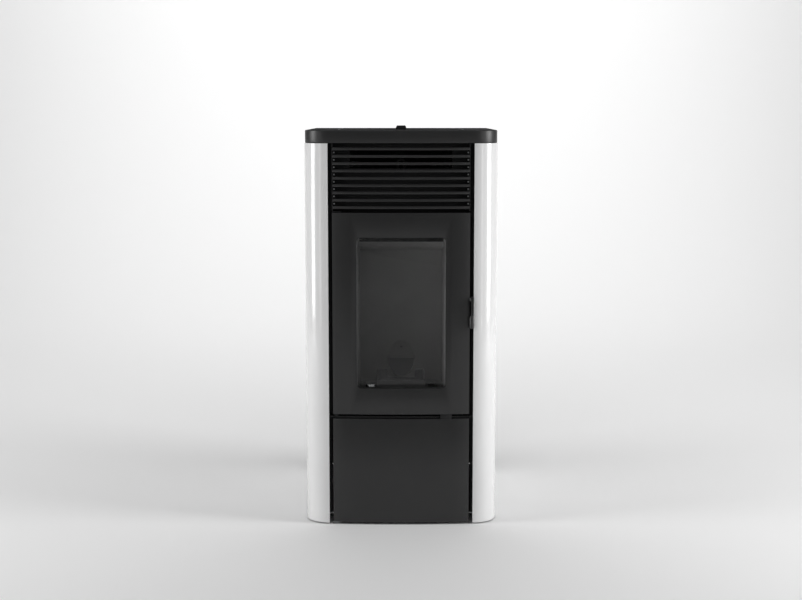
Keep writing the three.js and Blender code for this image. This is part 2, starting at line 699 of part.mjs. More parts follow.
function topSlab() {
  const edged = new THREE.ExtrudeGeometry(slabPlan(SLAB_INSET + SLAB_EDGE), {
    depth: SLAB_T - 2 * SLAB_EDGE,
    bevelThickness: SLAB_EDGE,
    bevelSize: SLAB_EDGE,
    bevelSegments: 2,
    curveSegments: 4,
  }).translate(0, 0, GRILLE_Z1 + SLAB_EDGE);
  const hollow = upright(slabPlan(SLAB_INSET + SLAB_SKIRT), GRILLE_Z1 - 1, PLATE_Z0, 4);
  const mouth = box(
    -LID_X - LID_GAP, LID_X + LID_GAP, LID_FRONT_Y - LID_GAP, LID_BACK_Y + LID_GAP, PLATE_Z0 - 1, SLAB_Z1 + 1);
  const pinHoles = rodX(LID_PIVOT_Y, LID_AXIS_Z, LID_PIN_R + RUN, -LID_X - LID_PIN_L - 2, LID_X + LID_PIN_L + 2);
  return cut(solid(edged), hollow, mouth, pinHoles);
}
part(casing, 'top_slab', topSlab(), 'black');

// Lid with a full round at the rear, turning on two stub pins.
function hopperLid() {
  const side = new THREE.Shape();
  side.moveTo(LID_FRONT_Y, PLATE_Z0);
  side.lineTo(LID_PIVOT_Y, PLATE_Z0);
  side.absarc(LID_PIVOT_Y, LID_AXIS_Z, LID_ROUND, -Math.PI / 2, Math.PI / 2, false);
  side.lineTo(LID_FRONT_Y, SLAB_Z1);
  const reach = LID_X + LID_PIN_L;
  return join(across(side, -LID_X, LID_X), rodX(LID_PIVOT_Y, LID_AXIS_Z, LID_PIN_R, -reach, reach));
}
part(lid, 'hopper_lid', hopperLid(), 'black');

function lidHandle() {
  const wide = LID_HANDLE_W / 2;
  const top = LID_HANDLE_TOP_W / 2;
  const r = 2;
  const front = new THREE.Shape();
  front.moveTo(-wide, 0);
  front.lineTo(wide, 0);
  front.lineTo(top + r, LID_HANDLE_H - r);
  front.quadraticCurveTo(top + r / 2, LID_HANDLE_H, top - r / 2, LID_HANDLE_H);
  front.lineTo(-top + r / 2, LID_HANDLE_H);
  front.quadraticCurveTo(-top - r / 2, LID_HANDLE_H, -top - r, LID_HANDLE_H - r);
  return inward(front, 0, LID_HANDLE_D, 4);
}
part(lid, 'lid_handle', lidHandle(), 'plastic', [0, LID_HANDLE_Y, SLAB_Z1]);

// ---------------------------------------------------------------- air grille
const OUTLET_HALF = DOOR_X - SLAT_SHEET - SEAT;
const slatSpan = GRILLE_H - SLAT_TOP_GAP - SLAT_BOTTOM_GAP;
for (let i = 0; i < SLAT_COUNT; i += 1) {
  const z = GRILLE_Z1 - SLAT_TOP_GAP - (i * slatSpan) / (SLAT_COUNT - 1) - SLAT_FACE / 2;
  const face = upright(bowStrip(OUTLET_HALF, 0, SLAT_SHEET), 0, SLAT_FACE);
  const leg = upright(bowStrip(OUTLET_HALF, 0, SLAT_DEPTH), SLAT_FACE - SLAT_SHEET, SLAT_FACE);
  part(casing, `grille_slat_${i + 1}`, join(face, leg), 'black', [0, 0, z]);
}

// Folded sheet behind the slats, with cheeks that carry their ends.
function outletFrame() {
  const z0 = GRILLE_Z0;
  const z1 = GRILLE_Z1 - SEAT;
  const sheet = box(-DOOR_X, DOOR_X, OUTLET_Y, OUTLET_Y + OUTLET_SHEET, z0, z1);
  const openTop = GRILLE_Z1 - OUTLET_TOP;
  const opening = box(
    -OUTLET_W / 2, OUTLET_W / 2, OUTLET_Y - 1, OUTLET_Y + OUTLET_SHEET + 1, openTop - OUTLET_H, openTop);
  const cheeks = [-1, 1].map((side) => {
    const edges = [side * DOOR_X, side * (DOOR_X - SLAT_SHEET)].sort((a, b) => a - b);
    return box(edges[0], edges[1], bowAt(DOOR_X), OUTLET_Y + 1, z0, z1);
  });
  return join(cut(sheet, opening), ...cheeks);
}
part(casing, 'outlet_frame', outletFrame(), 'dark');
part(casing, 'door_hinge_upper', upperHinge(), 'dark');

// ---------------------------------------------------------------- fire door
const WINDOW_Z0 = DOOR_Z0 + WINDOW_SILL;
const WINDOW_Z1 = WINDOW_Z0 + WINDOW_H;
const WINDOW_X = WINDOW_W / 2;
const GLASS_Y = BOW_Y + GLASS_SETBACK;
const GLASS_X = WINDOW_X + GLASS_LAP;
const GLASS_Z0 = WINDOW_Z0 - GLASS_LAP;
const GLASS_Z1 = WINDOW_Z1 + GLASS_LAP;
const POCKET = 1;              // glass pocket past the glass edge
const LATCH_Y = BOW_Y + LATCH_BACK;
const GRIP_Z0 = DOOR_Z0 + GRIP_Z;
const GRIP_TOP = GRIP_Z0 + GRIP_L;
const LATCH_Z = GRIP_TOP + LEVER_RISE;
const GRIP_X = DOOR_X + SIDE_GAP / 2;
const GRIP_Y = BOW_Y + GRIP_STANDOFF;

function frameRing(grow, y0, y1, r = 0) {
  return inward(rectangle(-WINDOW_X - grow, WINDOW_X + grow, WINDOW_Z0 - grow, WINDOW_Z1 + grow, r), y0, y1);
}

function doorFrame() {
  const body = upright(bowBlock(DOOR_X, 0, DOOR_BACK_Y), DOOR_Z0, DOOR_Z1, 4);
  const pocketPlan = bowBlock(DOOR_X - DOOR_RIM, DOOR_SKIN, DOOR_BACK_Y + 1);
  const hollow = upright(pocketPlan, DOOR_Z0 + DOOR_RIM, DOOR_Z1 - DOOR_RIM, 4);
  const collar = frameRing(GLASS_LAP + POCKET + COLLAR_T, BOW_Y, DOOR_BACK_Y + 2);
  const glassPocket = frameRing(GLASS_LAP + POCKET, GLASS_Y - SEAT, DOOR_BACK_Y + 3);
  const window = frameRing(0, BOW_Y - 10, DOOR_BACK_Y + 3, WINDOW_R);
  const grooveMid = GLASS_LAP + POCKET + COLLAR_T / 2;
  const grooveHalf = GASKET_W / 2 + SEAT;
  const groove = cut(
    frameRing(grooveMid + grooveHalf, DOOR_BACK_Y - GASKET_GROOVE, DOOR_BACK_Y + 1),
    frameRing(grooveMid - grooveHalf, DOOR_BACK_Y - GASKET_GROOVE - 1, DOOR_BACK_Y + 2),
  );
  const hingeHoles = rodZ(hingeX, hingeY, HINGE_PIN_R + RUN, DOOR_Z0 - 1, DOOR_Z1 + 1);
  const hingeBlock = box(hingeX - 7, hingeX + 9, hingeY - 8, hingeY + 9, DOOR_Z0 + 1, DOOR_Z1 - 1);
  const latchHole = rodX(LATCH_Y, LATCH_Z, LATCH_R + RUN, DOOR_X - DOOR_RIM - 2, DOOR_X + 2);
  const shell = cut(body, cut(hollow, collar), glassPocket, window, groove);
  return cut(join(shell, cut(hingeBlock, glassPocket)), hingeHoles, latchHole);
}
part(fireDoor, 'fire_door_frame', doorFrame(), 'black');

const glassPlan = rectangle(-GLASS_X, GLASS_X, GLASS_Z0, GLASS_Z1, GLASS_LAP);
part(fireDoor, 'door_glass', inward(glassPlan, GLASS_Y, GLASS_Y + GLASS_T), 'glass');

// Sheet frame that holds the glass in its pocket.
function glassRetainer() {
  const y0 = GLASS_Y + GLASS_T + SEAT;
  const ring = frameRing(GLASS_LAP + POCKET - SEAT, y0, y0 + RETAINER_T);
  return cut(ring, frameRing(GLASS_LAP + POCKET - SEAT - RETAINER_W, y0 - 1, y0 + RETAINER_T + 1));
}
part(fireDoor, 'glass_retainer', glassRetainer(), 'zinc');

function doorGasket() {
  const mid = GLASS_LAP + POCKET + COLLAR_T / 2;
  const y0 = DOOR_BACK_Y - GASKET_GROOVE + SEAT;
  const y1 = FRONT_PLATE_Y - SEAT;
  const outer = frameRing(mid + GASKET_W / 2, y0, y1, GASKET_W);
  return cut(outer, frameRing(mid - GASKET_W / 2, y0 - 1, y1 + 1));
}
part(fireDoor, 'door_gasket', doorGasket(), 'rope');

// Lever hanging in the side gap, with a turned grip at its lower end.
function doorHandle() {
  const grip = new THREE.LatheGeometry([
    [0, 0], [GRIP_R - 0.5, 0], [GRIP_R, 0.5], [GRIP_R, GRIP_L - 5], [GRIP_R - 1.5, GRIP_L - 2],
    [GRIP_R - 3.5, GRIP_L], [0, GRIP_L],
  ].map(([r, z]) => new THREE.Vector2(r, z)), 16).rotateX(Math.PI / 2).translate(GRIP_X, GRIP_Y, GRIP_Z0);
  const x0 = GRIP_X - LEVER_T / 2;
  const x1 = GRIP_X + LEVER_T / 2;
  const arm = outline([
    [GRIP_Y - LEVER_W / 2, GRIP_TOP - 2], [GRIP_Y + LEVER_W / 2, GRIP_TOP - 2],
    [GRIP_Y + LEVER_W / 2, LATCH_Z - LATCH_BOSS_R], [LATCH_Y, LATCH_Z - LATCH_BOSS_R],
    [LATCH_Y, LATCH_Z + LATCH_BOSS_R], [GRIP_Y, LATCH_Z + LATCH_BOSS_R],
    [GRIP_Y - LEVER_W / 2, LATCH_Z],
  ]);
  const boss = rodX(LATCH_Y, LATCH_Z, LATCH_BOSS_R, x0, x1);
  const eye = rodX(LATCH_Y, LATCH_Z, LATCH_R + SEAT, x0 - 1, x1 + 1);
  return cut(join(solid(grip), across(arm, x0, x1), boss), eye);
}
part(fireDoor, 'door_handle', doorHandle(), 'black');

// Shaft through the door's rim, with the hook inside the door.
const HOOK_X1 = DOOR_X - DOOR_RIM - 3;
function latchShaft() {
  const shaft = rodX(LATCH_Y, LATCH_Z, LATCH_R, HOOK_X1 - HOOK_T - 3, GRIP_X + LEVER_T / 2);
  const hook = new THREE.Shape();
  hook.absarc(LATCH_Y, LATCH_Z, LATCH_BOSS_R, Math.PI / 2, 1.5 * Math.PI, false);
  hook.lineTo(LATCH_Y + HOOK_REACH, LATCH_Z - LATCH_BOSS_R);
  hook.lineTo(LATCH_Y + HOOK_REACH, LATCH_Z - 1);
  hook.lineTo(LATCH_Y + HOOK_REACH - 4, LATCH_Z + 1);
  hook.lineTo(LATCH_Y + HOOK_REACH - 5, LATCH_Z + LATCH_BOSS_R);
  return join(shaft, across(hook, HOOK_X1 - HOOK_T, HOOK_X1));
}
part(fireDoor, 'latch_shaft', latchShaft(), 'zinc');

// ---------------------------------------------------------------- service door
function servicePanel() {
  const body = upright(bowBlock(DOOR_X, 0, BOW_Y + SERVICE_FOLD), SERVICE_Z0, SERVICE_Z1, 4);
  const plan = bowBlock(DOOR_X - POST_SHEET, SERVICE_SKIN, BOW_Y + SERVICE_FOLD + 1);
  const pan = cut(body, upright(plan, SERVICE_Z0 + POST_SHEET, SERVICE_Z1 - POST_SHEET, 4));
  const pinHoles = rodZ(hingeX, hingeY, HINGE_PIN_R - 1 + RUN, SERVICE_Z0 - 1, SERVICE_Z1 + 1);
  const tab = box(
    TAB_X0, TAB_X0 + TAB_W, BOW_Y + TAB_BACK, BOW_Y + TAB_BACK + POST_SHEET, SERVICE_Z1 - 1, DOOR_Z0 - SEAT);
  return join(cut(pan, pinHoles), tab);
}
part(serviceDoor, 'service_door', servicePanel(), 'black');

// ---------------------------------------------------------------- firebox
const LINER_Y0 = BOX_Y0 + SEAT;
const BACK_LINER_Y = BOX_Y1 - BACK_LINER_T - SEAT;
const LINER_FACE_X = BOX_X - LINER_T - SEAT;
const BAFFLE_Z = FLOOR_Z + LINER_TOP;
const SEAT_TOP = POT_RIM_Z - POT_UPPER;
const DRAWER_X = DRAWER_W / 2;
const DRAWER_Z1 = BOX_Z0 - 4;
const RUNNER_Z = DRAWER_Z1 - DRAWER_H - SEAT;
const DRAWER_Y0 = BOX_Y0 + 2;
const IGNITER_Z = SEAT_TOP - SEAT_SHEET - IGNITER_DROP;
const SMOKE_Z1 = BOX_Z1 - SMOKE_HOLE_TOP;
const SMOKE_Y1 = BOX_Y1 - 8;

function firebox() {
  const wall = FIREBOX_WALL;
  const plateTop = GRILLE_Z0 - SEAT;
  const plateX = POST_X1 - POST_SHEET - SEAT;
  const plate = box(-plateX, plateX, FRONT_PLATE_Y, BOX_Y0, BOX_Z0, plateTop);
  const shell = box(-BOX_X - wall, BOX_X + wall, BOX_Y0 - 1, BOX_Y1 + wall, BOX_Z0, BOX_Z1);
  const hollow = box(-BOX_X, BOX_X, FRONT_PLATE_Y - 1, BOX_Y1, FLOOR_Z, BOX_Z1 - wall);
  const roofHole = box(-BOX_X + 14, BOX_X - 14, BOX_Y0 + 14, BOX_Y0 + HEX_D - 14, BOX_Z1 - wall - 1, BOX_Z1 + 1);
  const ashHole = box(
    -ASH_HOLE_W / 2, ASH_HOLE_W / 2, BOX_Y0 + 10, BOX_Y0 + 10 + ASH_HOLE_D, BOX_Z0 - 1, FLOOR_Z + 1);
  const feedHole = inward(oval(0, FEED_Z, FEED_W + 8, FEED_H + 8), BOX_Y1 - 1, BOX_Y1 + wall + 1, 7);
  const airHole = rodY(AIR_TUBE_X, AIR_TUBE_Z, AIR_TUBE_R - 3, BOX_Y1 - 1, BOX_Y1 + wall + 1);
  const igniterHole = rodY(0, IGNITER_Z, IGNITER_R + SEAT, BOX_Y1 - 1, BOX_Y1 + wall + 1);
  const smokeHole = box(
    BOX_X - 1, BOX_X + wall + 1, SMOKE_Y1 - SMOKE_HOLE_D, SMOKE_Y1, SMOKE_Z1 - SMOKE_HOLE_H, SMOKE_Z1);
  // Rails under the floor for the ash drawer.
  const rails = [-1, 1].map((side) => {
    const inner = DRAWER_X + 1;
    const lip = inner - RUNNER_LIP;
    const depth = [BOX_Y0 + 1, BOX_Y0 + DRAWER_D];
    const web = side > 0 ? [inner, inner + wall] : [-inner - wall, -inner];
    const foot = side > 0 ? [lip, inner + wall] : [-inner - wall, -lip];
    return join(
      box(...web, ...depth, RUNNER_Z - wall, BOX_Z0 + 1), box(...foot, ...depth, RUNNER_Z - wall, RUNNER_Z));
  });
  // Catch for the latch hook, welded to the front plate.
  const catchY = LATCH_Y + HOOK_REACH + RUN;
  const keeper = join(
    box(HOOK_X1 - HOOK_T - 2, HOOK_X1 + 2, catchY, FRONT_PLATE_Y + 1, LATCH_Z - 14, LATCH_Z - 11),
    box(HOOK_X1 - HOOK_T - 2, HOOK_X1 + 2, catchY, catchY + 2, LATCH_Z - 14, LATCH_Z - 3),
  );
  const body = join(cut(join(plate, shell), hollow), ...rails, keeper);
  return cut(body, roofHole, ashHole, feedHole, airHole, igniterHole, smokeHole);
}
part(casing, 'firebox', firebox(), 'dark');

function backLiner() {
  const half = BOX_X - SEAT;
  const slab = box(-half, half, BACK_LINER_Y, BOX_Y1 - SEAT, FLOOR_Z + SEAT, BAFFLE_Z);
  const feedHole = inward(oval(0, FEED_Z, FEED_W, FEED_H), BACK_LINER_Y - 1, BOX_Y1 + 1, 7);
  const igniterHole = rodY(0, IGNITER_Z, IGNITER_R + SEAT, BACK_LINER_Y - 1, BOX_Y1 + 1);
  const airNotch = box(
    AIR_TUBE_X - AIR_TUBE_R, AIR_TUBE_X + AIR_TUBE_R, BACK_LINER_Y - 1, BOX_Y1 + 1, FLOOR_Z - 1, SEAT_TOP - 4);
  return cut(slab, feedHole, igniterHole, airNotch);
}
part(hearth, 'liner_back', backLiner(), 'liner');

// Side liner with a sloping step that carries the baffle.
const BAFFLE_Y0 = BACK_LINER_Y - SEAT - BAFFLE_D;
function sideLinerOutline() {
  const back = BACK_LINER_Y - SEAT;
  const top = BOX_Z1 - FIREBOX_WALL - SEAT;
  return outline([
    [LINER_Y0, FLOOR_Z + SEAT], [back, FLOOR_Z + SEAT], [back, BAFFLE_Z],
    [BAFFLE_Y0 - SEAT, BAFFLE_Z + BAFFLE_RISE], [BAFFLE_Y0 - SEAT, top], [LINER_Y0, top],
  ]);
}
part(hearth, 'liner_left', across(sideLinerOutline(), -BOX_X + SEAT, -LINER_FACE_X), 'liner');
part(hearth, 'liner_right', across(sideLinerOutline(), LINER_FACE_X, BOX_X - SEAT), 'liner');

function baffle() {
  const back = BACK_LINER_Y - SEAT;
  const lift = SEAT + 0.1;
  return across(outline([
    [back, BAFFLE_Z + lift], [back, BAFFLE_Z + lift + BAFFLE_T],
    [BAFFLE_Y0, BAFFLE_Z + BAFFLE_RISE + lift + BAFFLE_T], [BAFFLE_Y0, BAFFLE_Z + BAFFLE_RISE + lift],
  ]), -BOX_X + 1, BOX_X - 1);
}
part(hearth, 'baffle', baffle(), 'liner');

// ---------------------------------------------------------------- burn pot and its seat
const POT_Y0 = POT_Y - POT_D / 2;
const POT_Y1 = POT_Y + POT_D / 2;
const POT_X = POT_W / 2;

function burnPot() {
  const shoulder = SEAT_TOP + SEAT;
  const bottom = shoulder - POT_LOWER;
  const upper = box(-POT_X, POT_X, POT_Y0, POT_Y1, shoulder, POT_RIM_Z);
  const lower = box(
    -POT_X + POT_STEP, POT_X - POT_STEP, POT_Y0 + POT_STEP, POT_Y1 - POT_STEP, bottom, shoulder + 1);
  const t = POT_WALL;
  const inX = POT_X - t;
  const stepIn = POT_STEP + t;
  const wide = box(-inX, inX, POT_Y0 + t, POT_Y1 - t, shoulder + t, POT_RIM_Z + 1);
  const deep = box(-POT_X + stepIn, POT_X - stepIn, POT_Y0 + stepIn, POT_Y1 - stepIn, bottom + t, POT_RIM_Z + 1);
  const dip = box(-FEED_W / 2, FEED_W / 2, POT_Y1 - t - 1, POT_Y1 + 1, POT_RIM_Z - POT_REAR_DIP, POT_RIM_Z + 1);
  const holes = [];
  const pitch = (POT_W - 2 * stepIn) / (POT_LIFT_HOLES + 1);
  for (let i = 0; i < POT_LIFT_HOLES; i += 1) {
    for (let j = 0; j < POT_LIFT_HOLES; j += 1) {
      const x = (i - (POT_LIFT_HOLES - 1) / 2) * pitch;
      const y = POT_Y + (j - (POT_LIFT_HOLES - 1) / 2) * pitch;
      holes.push(rodZ(x, y, POT_HOLE_R, bottom - 1, bottom + t + 1, 3));
    }
  }
  return cut(join(upper, lower), wide, deep, dip, ...holes);
}
part(hearth, 'burn_pot', burnPot(), 'iron');

// Table that carries the pot, with ash slots on both sides of it.
function potSeat() {
  const half = LINER_FACE_X - SEAT;
  const y0 = LINER_Y0;
  const y1 = BACK_LINER_Y - SEAT;
  const top = box(-half, half, y0, y1, SEAT_TOP - SEAT_SHEET, SEAT_TOP);
  const clear = POT_STEP - RUN;
  const potHole = box(
    -POT_X + clear, POT_X - clear, POT_Y0 + clear, POT_Y1 - clear, SEAT_TOP - SEAT_SHEET - 1, SEAT_TOP + 1);
  const slots = [-1, 1].map((side) => {
    const xs = [side * (POT_X + 8), side * (half - 14)].sort((a, b) => a - b);
    return box(...xs, POT_Y0 + 10, POT_Y1 - 20, SEAT_TOP - SEAT_SHEET - 1, SEAT_TOP + 1);
  });
  const legs = [-1, 1].map((side) => {
    const xs = [side * (half - SEAT_SHEET), side * half].sort((a, b) => a - b);
    return box(...xs, y0, y1, FLOOR_Z + SEAT, SEAT_TOP - 1);
  });
  return join(cut(top, potHole, ...slots), ...legs);
}
part(hearth, 'pot_seat', potSeat(), 'iron');

function ashDrawer() {
  const z0 = RUNNER_Z + SEAT;
  const y1 = DRAWER_Y0 + DRAWER_D - 4;
  const t = DRAWER_SHEET;
  const tray = box(-DRAWER_X, DRAWER_X, DRAWER_Y0, y1, z0, DRAWER_Z1 - SEAT);
  const hollow = box(-DRAWER_X + t, DRAWER_X - t, DRAWER_Y0 + t, y1 - t, z0 + t, DRAWER_Z1 + 1);
  const gripZ = DRAWER_Z1 - 2 * DRAWER_GRIP_H;
  const grip = inward(
    rectangle(-DRAWER_GRIP_W / 2, DRAWER_GRIP_W / 2, gripZ, gripZ + DRAWER_GRIP_H, DRAWER_GRIP_H / 2 - 1),
    DRAWER_Y0 - 1, DRAWER_Y0 + t + 1);
  return cut(tray, hollow, grip);
}
part(hearth, 'ash_drawer', ashDrawer(), 'zinc');

// Heating rod that points at the rear of the pot, with its fixing collar behind the firebox.
function igniter() {
  const front = POT_Y1 - POT_STEP + 1;
  const back = BOX_Y1 + FIREBOX_WALL;
  const rod = rodY(0, IGNITER_Z, IGNITER_R, front, front + IGNITER_L, 7);
  return join(rod, rodY(0, IGNITER_Z, 2 * IGNITER_R, back + SEAT, back + 6, 7));
}
part(hearth, 'igniter', igniter(), 'steel');

// ---------------------------------------------------------------- heat exchanger and scraper
const HEX_X = HEX_W / 2;
const HEX_Y0 = BOX_Y0 + SEAT;
const HEX_Z0 = BOX_Z1 + SEAT;
const HEX_Z1 = HEX_Z0 + HEX_H;
const HEX_Y1 = HEX_Y0 + HEX_D;
const SCRAPER_PLACE_Y = HEX_Y0 + SCRAPER_Y;
function exchanger() {
  const t = HEX_WALL;
  const shell = box(-HEX_X, HEX_X, HEX_Y0, HEX_Y1, HEX_Z0, HEX_Z1);
  const hollow = box(-HEX_X + t, HEX_X - t, HEX_Y0 + t, HEX_Y1 - t, HEX_Z0 + t, HEX_Z1 - t);
  const floor = box(-BOX_X + 14, BOX_X - 14, BOX_Y0 + 14, BOX_Y0 + HEX_D - 14, HEX_Z0 - 1, HEX_Z0 + t + 1);
  const pitch = HEX_D / (HEX_TUBES + 0.4);
  const tubes = [];
  const bores = [];
  for (let i = 0; i < HEX_TUBES; i += 1) {
    const y = HEX_Y0 + pitch * (i + 0.7);
    const z = HEX_Z1 - HEX_TUBE_DROP;
    tubes.push(rodX(y, z, HEX_TUBE_R, -HEX_X, HEX_X, 6));
    bores.push(rodX(y, z, HEX_TUBE_R - HEX_TUBE_WALL, -HEX_X - 1, HEX_X + 1, 6));
  }
  const legHoles = [-1, 1].map((side) => rodZ(
    side * SCRAPER_LOOP_R, SCRAPER_PLACE_Y, SCRAPER_ROD_R + RUN, HEX_Z1 - t - 1, HEX_Z1 + 1, 6));
  return cut(join(cut(shell, hollow), ...tubes), floor, ...bores, ...legHoles);
}
part(casing, 'exchanger', exchanger(), 'dark');

// Bent rod loop over the roof, with a scraper bar on its legs inside.
function scraper() {
  const top = HEX_Z1 + SCRAPER_RISE;
  const bottom = HEX_Z1 - SCRAPER_DEPTH;
  const path = new THREE.CurvePath();
  const leg = (x, za, zb) => new THREE.LineCurve3(new THREE.Vector3(x, 0, za), new THREE.Vector3(x, 0, zb));
  class Arch extends THREE.Curve {
    getPoint(t, target = new THREE.Vector3()) {
      const a = Math.PI * (1 - t);
      return target.set(SCRAPER_LOOP_R * Math.cos(a), 0, top + SCRAPER_LOOP_R * Math.sin(a));
    }
  }
  path.add(leg(-SCRAPER_LOOP_R, bottom, top));
  path.add(new Arch());
  path.add(leg(SCRAPER_LOOP_R, top, bottom));
  const section = new THREE.Shape().absellipse(0, 0, SCRAPER_ROD_R, SCRAPER_ROD_R, 0, 2 * Math.PI, false, 0);
  const loop = new THREE.ExtrudeGeometry(section, { steps: 28, curveSegments: 5, extrudePath: path });
  const bar = box(-SCRAPER_BAR_W / 2, SCRAPER_BAR_W / 2, -6, 6, bottom - SCRAPER_BAR_T, bottom + 1);
  return join(solid(loop), bar);
}
part(casing, 'scraper', scraper(), 'steel', [0, SCRAPER_PLACE_Y, 0]);

// ---------------------------------------------------------------- hopper
// Four-sided funnel between two level rectangles, as a closed body.
function funnel(lower, upper) {
  const corners = [lower, upper].flatMap(({ x0, x1, y0, y1, z }) => [
    [x0, y0, z], [x1, y0, z], [x1, y1, z], [x0, y1, z],
  ]);
  const geometry = new THREE.BufferGeometry();
  geometry.setAttribute('position', new THREE.Float32BufferAttribute(corners.flat(), 3));
  const sides = [0, 1, 2, 3].flatMap((i) => {
    const j = (i + 1) % 4;
    return [i, j, j + 4, i, j + 4, i + 4];
  });
  geometry.setIndex([0, 2, 1, 0, 3, 2, 4, 5, 6, 4, 6, 7, ...sides]);
  return solid(geometry);
}

function grown(level, by, lift = 0) {
  const { x0, x1, y0, y1, z } = level;
  return { x0: x0 - by, x1: x1 + by, y0: y0 - by, y1: y1 + by, z: z + lift };
}

const FLANGE_Z1 = PLATE_Z0 - SEAT;
const MOUTH = {
  x0: -HOPPER_W / 2, x1: HOPPER_W / 2, y0: HOPPER_FRONT_Y, y1: HOPPER_REAR_Y, z: FLANGE_Z1 };
const KNEE = {
  x0: -HOPPER_W / 2, x1: HOPPER_W / 2, y0: HOPPER_KNEE_Y, y1: HOPPER_KNEE_REAR_Y, z: HOPPER_KNEE_Z };
const THROAT = {
  x0: INLET_X - INLET_W / 2, x1: INLET_X + INLET_W / 2,
  y0: AUGER_Y - INLET_D / 2, y1: AUGER_Y + INLET_D / 2, z: HOPPER_OUT_Z };

function hopper() {
  const t = HOPPER_SHEET;
  const flange = box(
    MOUTH.x0 - HOPPER_FLANGE, MOUTH.x1 + HOPPER_FLANGE, MOUTH.y0 - HOPPER_FLANGE, MOUTH.y1 + HOPPER_FLANGE,
    FLANGE_Z1 - t, FLANGE_Z1);
  const outside = join(flange, funnel(grown(KNEE, t), grown(MOUTH, t)), funnel(grown(THROAT, t), grown(KNEE, t)));
  const upper = funnel(KNEE, MOUTH);
  const lower = funnel(THROAT, KNEE);
  const ends = [
    box(MOUTH.x0, MOUTH.x1, MOUTH.y0, MOUTH.y1, FLANGE_Z1 - 0.01, FLANGE_Z1 + 1),
    box(THROAT.x0, THROAT.x1, THROAT.y0, THROAT.y1, HOPPER_OUT_Z - 1, HOPPER_OUT_Z + 0.01),
  ];
  return cut(outside, join(upper, lower, ...ends));
}
part(feed, 'hopper', hopper(), 'zinc');

// ---------------------------------------------------------------- auger
const TUBE_IN_R = AUGER_TUBE_R - AUGER_TUBE_WALL;
const CHUTE_X = CHUTE_W / 2;
const CHUTE_TOP_Z = AUGER_Z - AUGER_TUBE_R - SEAT;
function augerTube() {
  const outer = rodX(AUGER_Y, AUGER_Z, AUGER_TUBE_R, AUGER_LEFT, AUGER_RIGHT, 10);
  const inner = rodX(AUGER_Y, AUGER_Z, TUBE_IN_R, AUGER_LEFT - 1, AUGER_RIGHT - AUGER_TUBE_WALL, 10);
  const top = HOPPER_OUT_Z - SEAT;
  const t = HOPPER_SHEET;
  const collar = box(THROAT.x0 - t, THROAT.x1 + t, THROAT.y0 - t, THROAT.y1 + t, AUGER_Z, top);
  const throat = box(THROAT.x0, THROAT.x1, THROAT.y0, THROAT.y1, AUGER_Z, top + 1);
  const drop = box(-CHUTE_X + 6, CHUTE_X - 6, THROAT.y0, THROAT.y1, AUGER_Z - AUGER_TUBE_R - 1, AUGER_Z);
  const flange = cut(
    across(rectangle(
      AUGER_Y - GEARBOX_W / 2, AUGER_Y + GEARBOX_W / 2, AUGER_Z - GEARBOX_W / 2, AUGER_Z + GEARBOX_W / 2, 8,
    ), AUGER_LEFT, AUGER_LEFT + 3),
    rodX(AUGER_Y, AUGER_Z, TUBE_IN_R, AUGER_LEFT - 1, AUGER_LEFT + 4, 10),
  );
  return join(cut(join(outer, collar), inner, throat, drop), flange);
}
part(feed, 'auger_tube', augerTube(), 'zinc');

// Screw with one helical flight: a round section with a fin, turned as it moves along the shaft.
function augerScrew() {
  const start = AUGER_LEFT + AUGER_END_GAP;
  const steps = Math.round(AUGER_TURNS * AUGER_STEPS);
  const fin = (2 * Math.PI * AUGER_FLIGHT_T) / AUGER_PITCH;
  const section = [[AUGER_SHAFT_R, 0], [AUGER_FLIGHT_R, 0], [AUGER_FLIGHT_R, fin], [AUGER_SHAFT_R, fin]];
  for (let j = 1; j < AUGER_SIDES; j += 1) {
    section.push([AUGER_SHAFT_R, fin + ((2 * Math.PI - fin) * j) / AUGER_SIDES]);
  }
  const count = section.length;
  const points = [];
  const index = [];
  for (let i = 0; i <= steps; i += 1) {
    const turn = (2 * Math.PI * i) / AUGER_STEPS;
    const x = start + (AUGER_PITCH * i) / AUGER_STEPS;
    for (const [r, a] of section) {
      points.push(x, AUGER_Y + r * Math.cos(a + turn), AUGER_Z + r * Math.sin(a + turn));
    }
  }
  const last = count * steps;
  const hub = count * (steps + 1);
  const end = start + (AUGER_PITCH * steps) / AUGER_STEPS;
  points.push(start, AUGER_Y, AUGER_Z, end, AUGER_Y, AUGER_Z);
  for (let k = 0; k < count; k += 1) {
    const next = (k + 1) % count;
    for (let i = 0; i < steps; i += 1) {
      const a = count * i + k;
      const b = count * i + next;
      index.push(a, b, b + count, a, b + count, a + count);
    }
    index.push(hub, next, k, hub + 1, last + k, last + next);
  }
  const screw = new THREE.BufferGeometry();
  screw.setAttribute('position', new THREE.Float32BufferAttribute(points, 3));
  screw.setIndex(index);
  const journal = AUGER_SHAFT_R - 2;
  const rear = rodX(AUGER_Y, AUGER_Z, journal, AUGER_LEFT - 16, start + 2, 6);
  const front = rodX(AUGER_Y, AUGER_Z, journal, end - 2, AUGER_RIGHT - AUGER_TUBE_WALL - RUN, 6);
  return join(solid(screw), rear, front);
}
part(feed, 'auger_screw', augerScrew(), 'steel');

